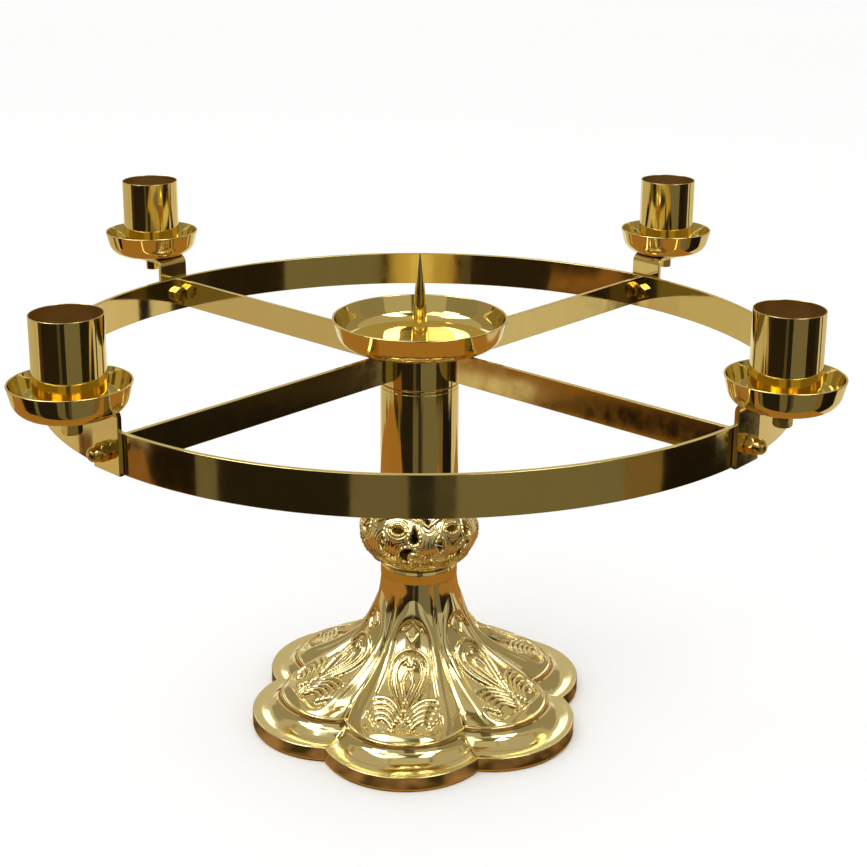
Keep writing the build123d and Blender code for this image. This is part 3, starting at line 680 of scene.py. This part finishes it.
oval = [(0.6, 7), (4.1, 18.2), (8.1, 26), (11.6, 33.5), (13.2, 42),
        (12.4, 49.5), (9.4, 55.5), (4.7, 59.3), (0, 60.8)]
strokes = [
    (oval, 1.4, 1.5, 1.8),
    ([(0.8, 16), (3.2, 24), (6.0, 32), (8.4, 40), (8.6, 46), (6.4, 51.5), (2.8, 54)], 1.2, 0.9, 1.4),
    ([(0, 24), (1.8, 32), (3.2, 39), (1.4, 45.5)], 1.1, 1.2, 1.4),
    ([(0.8, 49.5), (2.6, 52), (4.2, 50.2)], 1.1, 0.8, 1.3),
    ([(0, 78.6), (2.4, 75.8), (4.8, 73)], 1.1, 0.8, 1.3),
    ([(0, 65.2), (2.2, 67.8), (4.4, 70.6)], 1.1, 0.8, 1.3),
    ([(4.8, 72.4), (6.8, 73.4), (8.2, 71.8)], 0.9, 0.7, 1.1),
    ([(0, -1.0), (0, 9)], 1.8, 0.9, 1.6),
]
outer_leaf = np.array([(1.4, 12.4), (6.0, 19.4), (13.4, 23.6), (22.3, 20.6), (26.4, 11.2)])
inner_leaf = np.array([(6.4, 1.4), (9.4, 5.4), (14.2, 7.4), (18.3, 5.0), (19.0, 1.8)])
for share in np.linspace(0, 1, 5):
    strokes.append((outer_leaf + share * (inner_leaf - outer_leaf), 1.5, 2.1, 2.0))

ornament = np.maximum.reduce([stroke(abs(across), along, *line) for line in strokes])
fade_start, fade_width = 0.6, 1.2
relief = relief + ornament * np.clip((inside + fade_start) / fade_width, 0, 1)
print(len(strokes), "strokes on each half of a petal, up to", round(ornament.max(), 2), "mm high")

# %% [markdown]
# Below the flare come a bead, a cove and the rim, then the foot turns inwards, because the casting
# is hollow. All of it is one list of levels, each with its tip and its notch, so one rule makes the
# skin inside and outside. A Solidify modifier could give the wall, but it would also press the
# ornament through to the inside.

# %% Levels below the flare
rim_tip, rim_notch, rim_height, cove_height = 120.0, 103.0, 10.5, 10.0
lip_tip, lip_notch = flare_tip + 0.5, 80.0
bead_tip, bead_notch, bead_out, bead_up, bead_drop = 100.0, 81.9, 0.9, 0.95, 1.05
cove_step, rim_flat, rim_edge, toe_edge, rim_margin = 0.7, 1.6, 0.8, 0.7, 1.2
foot_wall, foot_plate, inner_base = 3.0, 6.0, flare_base - 4


def eased(tip, notch, level, out, up, turns):
    """Levels along the arc of an edge that reaches out to tip and notch. The arc's middle is at the level."""
    steps = [(out * cos(turn), up * sin(turn)) for turn in turns]
    return [(tip - out + aside, notch - out + aside, level + climb) for aside, climb in steps]


lower = [(lip_tip, lip_notch, flare_base)]
bead_turns = np.linspace(pi / 2, -pi / 2, 13)
lower += eased(bead_tip, bead_notch, flare_base - bead_drop, bead_out, bead_up, bead_turns)
for turn in np.linspace(pi / 2, 0, 30):
    share = 1 - sin(turn)
    lower.append((bead_tip - cove_step + share * (rim_tip - rim_flat - bead_tip + cove_step),
                  bead_notch - cove_step + share * (rim_notch - rim_flat - bead_notch + cove_step),
                  rim_height + (1 - cos(turn)) * cove_height))
lower += eased(rim_tip, rim_notch, rim_height - rim_edge, rim_edge, rim_edge, np.linspace(pi / 2, 0, 8))
lower += [(rim_tip, rim_notch, level) for level in np.linspace(rim_height - rim_margin, rim_margin, 8)]
lower += eased(rim_tip, rim_notch, toe_edge, toe_edge, toe_edge, np.linspace(0, -pi / 2, 6))
lower += [(rim_tip - foot_wall, rim_notch - foot_wall, level) for level in (0.0, rim_height - foot_wall)]
squeeze = (neck_top - foot_plate - inner_base) / (neck_top - flare_base)
for share in np.linspace(0, 1, 28):
    place = int(round((1 - share) * (flare_count - 1)))
    level = inner_base + (levels[place] - flare_base) * squeeze
    lower.append((tips[place] - foot_wall, notches[place] - foot_wall, level))
print(len(lower), "levels below and inside the flare")

# %% [markdown]
# Now the petal is repeated six times, its relief set out square to the flare's slope, and the skin is closed
# through the rod's hole. An Array modifier could repeat a petal, but then its seams would have to be merged.

# %% Skin of the foot
facing_radial = -np.gradient(levels, along_flare)[:, None]
facing_level = np.gradient(tips, along_flare)[:, None]
flare_reach = np.tile(reach + relief * facing_radial, lobes)
flare_level = np.tile(levels[:, None] + relief * facing_level, lobes)

around = np.tile(angles, lobes)
theta = np.repeat(np.arange(lobes) * 2 * pi / lobes, petal_columns) + around + radians(foot_turn - 90)
lower_reach = np.stack([lobed(tip, notch, around) for tip, notch, level in lower])
lower_level = np.stack([np.full(len(around), level) for tip, notch, level in lower])
hole = np.full((1, len(around)), rod_radius + slip)
reach_rows = np.concatenate([hole, flare_reach, lower_reach, hole])
level_rows = np.concatenate([hole * 0 + neck_top, flare_level, lower_level, hole * 0 + neck_top - foot_plate])

rows, columns = reach_rows.shape
foot_points = np.stack([reach_rows * np.cos(theta), reach_rows * np.sin(theta), level_rows], -1)
index = np.arange(rows * columns).reshape(rows, columns)
on_row, on_column = np.roll(index, -1, 0), np.roll(index, -1, 1)
quads = np.stack([index, on_row, np.roll(on_row, -1, 1), on_column], -1).reshape(-1, 4)
foot_skin = (foot_points.reshape(-1, 3), quads.tolist())
piece("foot_casting", [foot_skin], ["foot"], "stand", cast_brass, sharp=50)

# %% [markdown]
# The knop is a cast hollow shell, pierced with scrolls. Cutting its openings with booleans would leave ragged
# triangles, so each opening is drawn on the shell's face as a distance: negative inside it, positive outside.
# A few helpers give the distance to a circle, a lens and a polygon, and the points of an arc.

# %% Distances to shapes
def circle_gap(x, y, middle_x, middle_y, radius):
    """Distance to the edge of a circle, negative inside it."""
    return np.hypot(x - middle_x, y - middle_y) - radius


def lens_gap(x, y, middle_x, middle_y, half_width, half_height):
    """Distance to a lens with its points left and right."""
    radius = (half_width**2 + half_height**2) / (2 * half_height)
    offset = radius - half_height
    return np.maximum(circle_gap(x, y, middle_x, middle_y - offset, radius),
                      circle_gap(x, y, middle_x, middle_y + offset, radius))


def polygon_gap(x, y, corners):
    """Distance to the edge of a polygon, negative inside it."""
    corners = np.array(corners, float)
    gap = np.full(x.shape, 99.0)
    winding = np.zeros(x.shape)
    for (x0, y0), (x1, y1) in zip(corners, np.roll(corners, -1, 0)):
        dx, dy = x1 - x0, y1 - y0
        share = np.clip(((x - x0) * dx + (y - y0) * dy) / (dx**2 + dy**2), 0, 1)
        gap = np.minimum(gap, np.hypot(x - x0 - share * dx, y - y0 - share * dy))
        side = dx * (y - y0) - (x - x0) * dy
        winding += (y0 <= y) & (y1 > y) & (side > 0)
        winding -= (y0 > y) & (y1 <= y) & (side < 0)
    return np.where(winding != 0, -gap, gap)


def arc_points(start, between, end, count=14):
    """Points on the circle through three points, without the last one."""
    (ax, ay), (bx, by), (cx, cy) = start, between, end
    d = 2 * (ax * (by - cy) + bx * (cy - ay) + cx * (ay - by))
    ux = ((ax**2 + ay**2) * (by - cy) + (bx**2 + by**2) * (cy - ay) + (cx**2 + cy**2) * (ay - by)) / d
    uy = ((ax**2 + ay**2) * (cx - bx) + (bx**2 + by**2) * (ax - cx) + (cx**2 + cy**2) * (bx - ax)) / d
    first, middle, last = (atan2(y - uy, x - ux) for x, y in (start, between, end))
    sweep = (last - first) % (2 * pi)
    if (middle - first) % (2 * pi) > sweep:
        sweep -= 2 * pi
    radius = np.hypot(ax - ux, ay - uy)
    turns = [first + sweep * share for share in np.linspace(0, 1, count)[:-1]]
    return [(ux + radius * cos(turn), uy + radius * sin(turn)) for turn in turns]


print("A quarter arc has", len(arc_points((1, 0), (cos(pi / 4), sin(pi / 4)), (0, 1))), "points and its end")

# %% [markdown]
# Five openings repeat under each of the six arches: a spandrel between two arches, an eye, a drop, a comma
# and a slit. Each has its own turn round the axis and its own level, in degrees and in mm from the knop's
# middle. The shell is an ellipse turned about the axis, so a place on it needs only a turn and a height.

# %% Openings of the knop
knop_turn, arches = -22.0, 6
knop_radius, knop_half, knop_wall = 41.0, 30.0, 2.6
knop_middle = (knop_base + knop_top) / 2
arch_columns, knop_rows = 120, 132
comma_width, comma_height, comma_level = 12.5, 11.5, -5.2
comma_shares = ((0.50, 0.26), (-0.22, 0.44), (-0.50, -0.10), (-0.30, -0.46), (0.06, -0.48), (0.0, 0.04))
drop_radius, drop_middle, drop_top = 3.1, 7.0, 14.6
eye_level, slit_level = 11.8, 1.6

comma = [(x * comma_width, comma_level + y * comma_height) for x, y in comma_shares]
comma_points = arc_points(*comma[:3]) + arc_points(*comma[2:5]) + arc_points(*comma[4:], comma[0])
drop_cos = drop_radius / (drop_top - drop_middle)
drop_side, drop_shoulder = drop_radius * sqrt(1 - drop_cos**2), drop_middle + drop_radius * drop_cos
drop_left, drop_right = (-drop_side, drop_shoulder), (drop_side, drop_shoulder)
drop_arc = arc_points(drop_left, (0, drop_middle - drop_radius), drop_right, 22)
drop_points = [(0, drop_top), *drop_arc, drop_right]
spandrel_points = [(-4.75, 20.4), (0, 15.4), (4.75, 20.4)]

pitch = 2 * pi / arches
knop_angles = (np.arange(arch_columns) / arch_columns - 0.5) * pitch
heights = np.linspace(-(knop_top - knop_base) / 2, (knop_top - knop_base) / 2, knop_rows)
shell = knop_radius * np.sqrt(1 - (heights / knop_half) ** 2)
level_grid = heights[:, None] + np.zeros((knop_rows, arch_columns))


def sideways(degrees):
    """How far each place lies to the side of the nearest upright plane at that turn in an arch."""
    turn = knop_angles[None, :] - radians(degrees)
    turn = (turn + pi / arches) % pitch - pi / arches
    return shell[:, None] * np.sin(turn)


openings = {
    "spandrel": (polygon_gap(sideways(30), level_grid, spandrel_points), 30, 18.5),
    "eye": (lens_gap(sideways(-3), level_grid, 0, eye_level, 4.75, 2.1), -3, eye_level),
    "drop": (polygon_gap(sideways(15), level_grid, drop_points), 15, 8.5),
    "comma": (polygon_gap(sideways(9), level_grid, comma_points), 9, comma_level),
    "slit": (lens_gap(level_grid, sideways(-19), slit_level, 0, 5.25, 2.3), -19, slit_level),
}
gap = np.min([values for values, turn, level in openings.values()], axis=0)
print("Share of the knop's face that is open:", round((gap < 0).mean(), 3))

# %% [markdown]
# The face between the openings is carved. Raised bands follow the arches above and swags below, a beaded
# rim runs round each opening, and ribs follow it as the veins of a leaf do. All of them come from the
# same distances, so the carving keeps to the openings, which a painted height map would not do.

# %% Relief of the knop
wave = np.cos(knop_angles * arches / 2)[None, :]
arch_level, arch_half = 14.2 + 5.6 * wave**0.8, 1.5
swag_level, swag_height, swag_half = -15.4 - 3.2 * wave, 0.7, 1.4
rim_gap, rim_half, rim_rise = 1.3, 0.75, 0.95
bead_share, comma_beads, other_beads = 0.28, 14, 11
rib_pitch, rib_height, rib_reach = 2.3, 0.45, 7.0
carved_half, carved_fade = 22.6, 1.6
edge_depth, edge_width, shell_inset = 0.5, 0.9, 0.25

arch_bands = np.clip(1 - ((level_grid - arch_level) / arch_half) ** 2, 0, 1)
swag_bands = swag_height * np.clip(1 - ((level_grid - swag_level) / swag_half) ** 2, 0, 1)
raised = [arch_bands, swag_bands]
for name, (values, turn, level) in openings.items():
    swing = np.arctan2(level_grid - level, sideways(turn))
    beads = 1 - bead_share + bead_share * np.cos(swing * (comma_beads if name == "comma" else other_beads))
    raised.append(rim_rise * np.exp(-(((values - rim_gap) / rim_half) ** 2)) * beads)
veins = 0.5 + 0.5 * np.cos(2 * pi * (gap - rim_gap) / rib_pitch)
raised.append(rib_height * veins * np.exp(-((gap / rib_reach) ** 2)))
knop_relief = np.maximum.reduce(raised) * np.clip((carved_half - abs(level_grid)) / carved_fade, 0, 1)
knop_relief -= edge_depth * np.clip(1 - gap / edge_width, 0, 1) ** 2
knop_relief -= shell_inset
print("Relief of the knop from", round(knop_relief.min(), 2), "to", round(knop_relief.max(), 2), "mm")

# %% [markdown]
# The relief is set out along the shell's own direction, which is square to the ellipse. A second
# skin, one wall further in, stays smooth: the inside of a casting is not carved. Both skins have
# the same grid of points.

# %% Two skins of the knop
gap_all, relief_all = np.tile(gap, arches), np.tile(knop_relief, arches)
arch_turns = np.repeat(np.arange(arches) * pitch, arch_columns)
theta = arch_turns + np.tile(knop_angles, arches) + radians(knop_turn - 90)
steep = np.hypot(shell / knop_radius**2, heights / knop_half**2)
out_radial = (shell / knop_radius**2 / steep)[:, None]
out_level = (heights / knop_half**2 / steep)[:, None]


def skin(depth):
    """Points of the shell's face, set out by depth along its own direction."""
    radius = shell[:, None] + depth * out_radial
    level = knop_middle + heights[:, None] + depth * out_level
    level = np.clip(level, knop_base, knop_top)
    return np.stack([radius * np.cos(theta), radius * np.sin(theta), level], -1).reshape(-1, 3)


outer = skin(relief_all)
inner = skin(np.full_like(relief_all, -knop_wall))
print("Each skin of the knop has", len(outer), "points")

# %% [markdown]
# Cells of the grid that lie in an opening are left out, and cells that cross its edge are clipped along it.
# Every edge that is then used only once gets a strip between the two skins, which closes the wall.

# %% Pierce and close the knop
flat_gap = gap_all.reshape(-1)
grid = np.arange(gap_all.size).reshape(gap_all.shape)
beside = np.roll(grid, -1, 1)
cells = np.stack([grid[:-1], beside[:-1], beside[1:], grid[1:]], -1).reshape(-1, 4)
solid = (flat_gap[cells] > 0).sum(1)
knop_faces = cells[solid == 4].tolist()
outer_points, inner_points = outer.tolist(), inner.tolist()
crossings = {}


def crossing(a, b):
    """The point where an edge of the grid meets the edge of an opening."""
    key = (min(a, b), max(a, b))
    if key not in crossings:
        share = flat_gap[key[0]] / (flat_gap[key[0]] - flat_gap[key[1]])
        share = min(max(share, 0.02), 0.98)
        crossings[key] = len(outer_points)
        outer_points.append((outer[key[0]] * (1 - share) + outer[key[1]] * share).tolist())
        inner_points.append((inner[key[0]] * (1 - share) + inner[key[1]] * share).tolist())
    return crossings[key]


for cell in cells[(solid > 0) & (solid < 4)].tolist():
    face = []
    for a, b in zip(cell, cell[1:] + cell[:1]):
        if flat_gap[a] > 0:
            face.append(a)
        if (flat_gap[a] > 0) != (flat_gap[b] > 0):
            face.append(crossing(a, b))
    knop_faces.append(face)

edges = {}
for face in knop_faces:
    for a, b in zip(face, face[1:] + face[:1]):
        if (b, a) in edges:
            del edges[(b, a)]
        else:
            edges[(a, b)] = True
count = len(outer_points)
closed_faces = knop_faces + [[corner + count for corner in face][::-1] for face in knop_faces]
closed_faces += [[b, a, a + count, b + count] for a, b in edges]
all_points = np.array(outer_points + inner_points)
used = np.unique(np.concatenate([np.array(face) for face in closed_faces]))
renumber = np.full(len(all_points), -1)
renumber[used] = np.arange(len(used))
closed_faces = [renumber[face].tolist() for face in closed_faces]
piece("knop_pierced_casting", [(all_points[used], closed_faces)], ["knop"], "stand", cast_brass, sharp=60)

# %% [markdown]
# Polished metal shows its surroundings more than itself, so the studio is built for its reflections.
# Glowing cards stand round the holder that only reflections see. A photograph of a room could light it
# instead, but cards can be placed one by one until each piece shows what the real one shows.

# %% Cards that reflections see
dome_reach, dome_level, streak_size = 6.0, 0.25, 34


def emitter(name, code, strength=1.0, dark=None):
    """A plain glowing card material, or one streaked with a darker tone."""
    material = bpy.data.materials.new(name)
    material.use_nodes = True
    tree = material.node_tree
    tree.nodes.remove(tree.nodes["Principled BSDF"])
    light = add(tree, "ShaderNodeEmission", i0=colour(code), i1=strength)
    if dark:
        place = add(tree, "ShaderNodeTexCoord").outputs["Object"]
        streaks = add(tree, "ShaderNodeTexNoise", {"Vector": place}, i2=1 / (streak_size * MM))
        spread = add(tree, "ShaderNodeMapRange", {"Value": streaks.outputs[0]}, i1=0.38, i2=0.62)
        tones = add(tree, "ShaderNodeMix", {"Factor": spread.outputs[0]}, data_type="RGBA",
                    i6=colour(code), i7=colour(dark))
        tree.links.new(tones.outputs[2], light.inputs[0])
    tree.links.new(light.outputs[0], tree.nodes["Material Output"].inputs[0])
    return material


def card(name, corners, faces, code, strength=1.0, dark=None):
    """A staged card, in metres, that only reflections see."""
    mesh = bpy.data.meshes.new(name)
    mesh.from_pydata(corners, [], faces)
    mesh.materials.append(emitter(name, code, strength, dark))
    made = bpy.data.objects.new(name, mesh)
    bpy.context.scene.collection.objects.link(made)
    made.visible_camera = made.visible_diffuse = made.visible_shadow = made.visible_transmission = False
    return made


def flat_card(name, outline, level, code, dark=None):
    """A card that lies flat at a level."""
    card(name, [(x, y, level) for x, y in outline], [tuple(range(len(outline)))], code, dark=dark)


def dome_card(name, start, end, low_end, high_end, code, strength=1.0, reach=dome_reach):
    """A card on a wide dome round the holder, between two compass angles and two heights in degrees."""
    columns, rows = 25, 13
    turns = np.radians(np.linspace(start, end, columns))
    corners = []
    for height in np.radians(np.linspace(low_end, high_end, rows)):
        level, out = dome_level + reach * sin(height), reach * cos(height)
        corners += [(out * cos(turn), out * sin(turn), level) for turn in turns]
    firsts = [row * columns + here for row in range(rows - 1) for here in range(columns - 1)]
    faces = [(first, first + 1, first + columns + 1, first + columns) for first in firsts]
    return card(name, corners, faces, code, strength)


print("The dome of cards is", 2 * dome_reach, "m wide")

# %% [markdown]
# The camera sees a pale matt floor, but the brass must not: a real stand mirrors a wooden table.
# So the floor is hidden from reflections, and flat cards in wood tones lie just above it.
# The streaked one under the foot stands for the foot's own broken shade on the table.

# %% Floor and table
mesh = bpy.data.meshes.new("floor")
mesh.from_pydata([(-14, -14, 0), (14, -14, 0), (14, 14, 0), (-14, 14, 0)], [], [(0, 1, 2, 3)])
floor = bpy.data.objects.new("floor", mesh)
# Matt white paint: it takes a soft shadow and gives no mirror image.
floor_paint = bpy.data.materials.new("pale matt floor")
floor_paint.use_nodes = True
paint_shader = floor_paint.node_tree.nodes["Principled BSDF"]
paint_shader.inputs["Base Color"].default_value = colour("#FCFCFC")
paint_shader.inputs["Roughness"].default_value = 0.9
paint_shader.inputs["Specular IOR Level"].default_value = 0.1
mesh.materials.append(floor_paint)
bpy.context.scene.collection.objects.link(floor)
floor.visible_glossy = False

wood_level, streak_level, streak_radius = 0.001, 0.002, 0.19
table = ((-0.7, -0.1), (-0.5, -0.31), (0.42, -0.31), (0.42, 0.45), (-0.3, 0.45), (-0.5, 0.36), (-0.7, 0.1))
bench = ((-0.8, -0.05), (-0.885, -0.14), (-0.88, -0.225), (-0.785, -0.25), (-0.66, -0.47), (-0.55, -0.41))
streak_turns = np.radians(np.arange(0, 360, 6))
streaked = [(streak_radius * cos(turn), streak_radius * sin(turn)) for turn in streak_turns]
flat_card("wooden table card", table, wood_level, "#A8783C")
flat_card("wooden bench card", bench, wood_level, "#8A5D2F")
flat_card("streaked table card", streaked, streak_level, "#9E7651", dark="#40331C")
print("Table from", table[0], "to", table[3], "m")

# %% [markdown]
# The dome is a ring of near cards below, far cards at the horizon, high cards above and a ceiling.
# In compass angles the right is 0, the back 90, the left 180 and the front 270, where the camera stands.
# Dark and pale cards side by side give the flat bars and the round tubes their bands of dark and light.

# %% Dome
card_rings = (
    ("near", -78, -18.8, (
        (16, 62, "#D8C8AE"), (62, 120, "#F0EADC"), (120, 153, "#CDB88E"), (153, 161, "#6A4522"),
        (161, 172, "#CDB88E"), (172, 203, "#1E160E"), (203, 210, "#6E664E"), (210, 249, "#26211A"),
        (249, 265, "#6E6450"), (265, 272, "#2E2A22"), (272, 278, "#4C4638"), (278, 327, "#766E58"),
        (327, 340, "#7A6440"), (340, 376, "#1C1812"))),
    ("far", -18.8, 4, (
        (16, 62, "#D8C8AE"), (62, 120, "#F0EADC"), (120, 169, "#C8BA98"), (169, 183, "#C2B298"),
        (183, 187, "#D6C8AC"), (187, 189, "#8A6840"), (189, 200, "#4A3620"), (200, 250, "#2A2218"),
        (250, 258, "#54493A"), (258, 271, "#24221C"), (271, 316, "#766E58"), (316, 345, "#261E14"),
        (345, 361, "#34291A"), (361, 370.5, "#D2C6B0"), (370.5, 376, "#1C1812"))),
    ("high", 4, 38, (
        (0, 60, "#9A8E72"), (60, 120, "#C8BEA2"), (120, 180, "#9A8E72"), (180, 230, "#928870"),
        (230, 262, "#B8B09A"), (262, 280, "#5E5644"), (280, 320, "#B8B09A"), (320, 360, "#928870"))),
)
for ring, low_end, high_end, stretches in card_rings:
    for start, end, code in stretches:
        dome_card("%s card at %d" % (ring, start), start, end, low_end, high_end, code)
dome_card("ceiling card", 0, 360, 38, 72, "#B8AE94")
dome_card("high ceiling card", 0, 360, 72, 90, "#C0B698")
print("Cards in the rings:", [(ring[0], len(ring[3])) for ring in card_rings])

# %% [markdown]
# Windows and lights hang a little nearer than the dome: two tall windows at the sides, two lights in front
# and two small windows at the back. They give the bright lines that tell a mirror polish from a satin one.
# One dark card hangs before the front of the ceiling. Lamps could do this, but a card's edge is sharp.

# %% Windows and lights
window_reach = 5.8
windows = (
    ("left window", 178, 206, 36, 70, "#FFFFFF", 5.0),
    ("right window", 304, 332, 38, 70, "#FFFFFF", 5.0),
    ("front left light", 204, 230, 26, 42, "#FFFFFF", 3.0),
    ("front right light", 284, 300, 34, 47, "#FFFFFF", 3.0),
    ("dark front ceiling card", 214, 304, 50, 73, "#6A6244", 1.0),
    ("back left window", 104, 114, 26, 36, "#FFFFFF", 2.0),
    ("back right window", 66, 76, 26, 36, "#FFFFFF", 2.0),
)
for window in windows:
    dome_card(*window, window_reach)
print("Windows and lights:", [window[0] for window in windows])

# %% [markdown]
# An even white world lights the floor from all sides, as a white sweep does in a studio,
# and one broad lamp from the front left adds the soft shadow. A sun lamp would cast a hard one.

# %% Lamp and surround
world = bpy.data.worlds.new("even white surround")
bpy.context.scene.world = world
world.use_nodes = True
surround = world.node_tree.nodes["Background"]
surround.inputs[0].default_value = colour("#FFFFFF")
surround.inputs[1].default_value = 1.0

lamp_data = bpy.data.lights.new("broad lamp", "AREA")
lamp_data.shape = "RECTANGLE"
lamp_data.size, lamp_data.size_y = 1.6, 1.2
lamp_data.energy = 10.0
lamp = bpy.data.objects.new("broad lamp", lamp_data)
lamp.location = (-1.0, -0.9, 2.2)
lamp_target = Vector((0, 0, 0.1))
lamp.rotation_euler = (lamp_target - Vector(lamp.location)).to_track_quat("-Z", "Y").to_euler()
bpy.context.scene.collection.objects.link(lamp)

# %% [markdown]
# The camera stands where the photograph was taken from, a little above the wheel and to its left. It could
# be aimed at the stem, but the photograph is a crop, so its direction, roll and lens shift are set apart.

# %% Camera
forward = Vector((0.05955, 0.96073, -0.27102)).normalized()
level_right = forward.cross(Vector((0, 0, 1))).normalized()
level_up = level_right.cross(forward)
roll = 0.0105
right = level_right * cos(roll) + level_up * sin(roll)
up = right.cross(forward)
camera_data = bpy.data.cameras.new("camera")
camera_data.lens, camera_data.sensor_width = 68.64, 36.0
camera_data.shift_x, camera_data.shift_y = -0.0294, -0.1344
camera = bpy.data.objects.new("camera", camera_data)
camera.matrix_world = Matrix((right, up, -forward)).transposed().to_4x4()
camera.location = (-0.0397, -1.0632, 0.5852)
bpy.context.scene.collection.objects.link(camera)
bpy.context.scene.camera = camera
bpy.context.scene.view_settings.view_transform = "Standard"
print("Camera at", [round(value, 3) for value in camera.location])
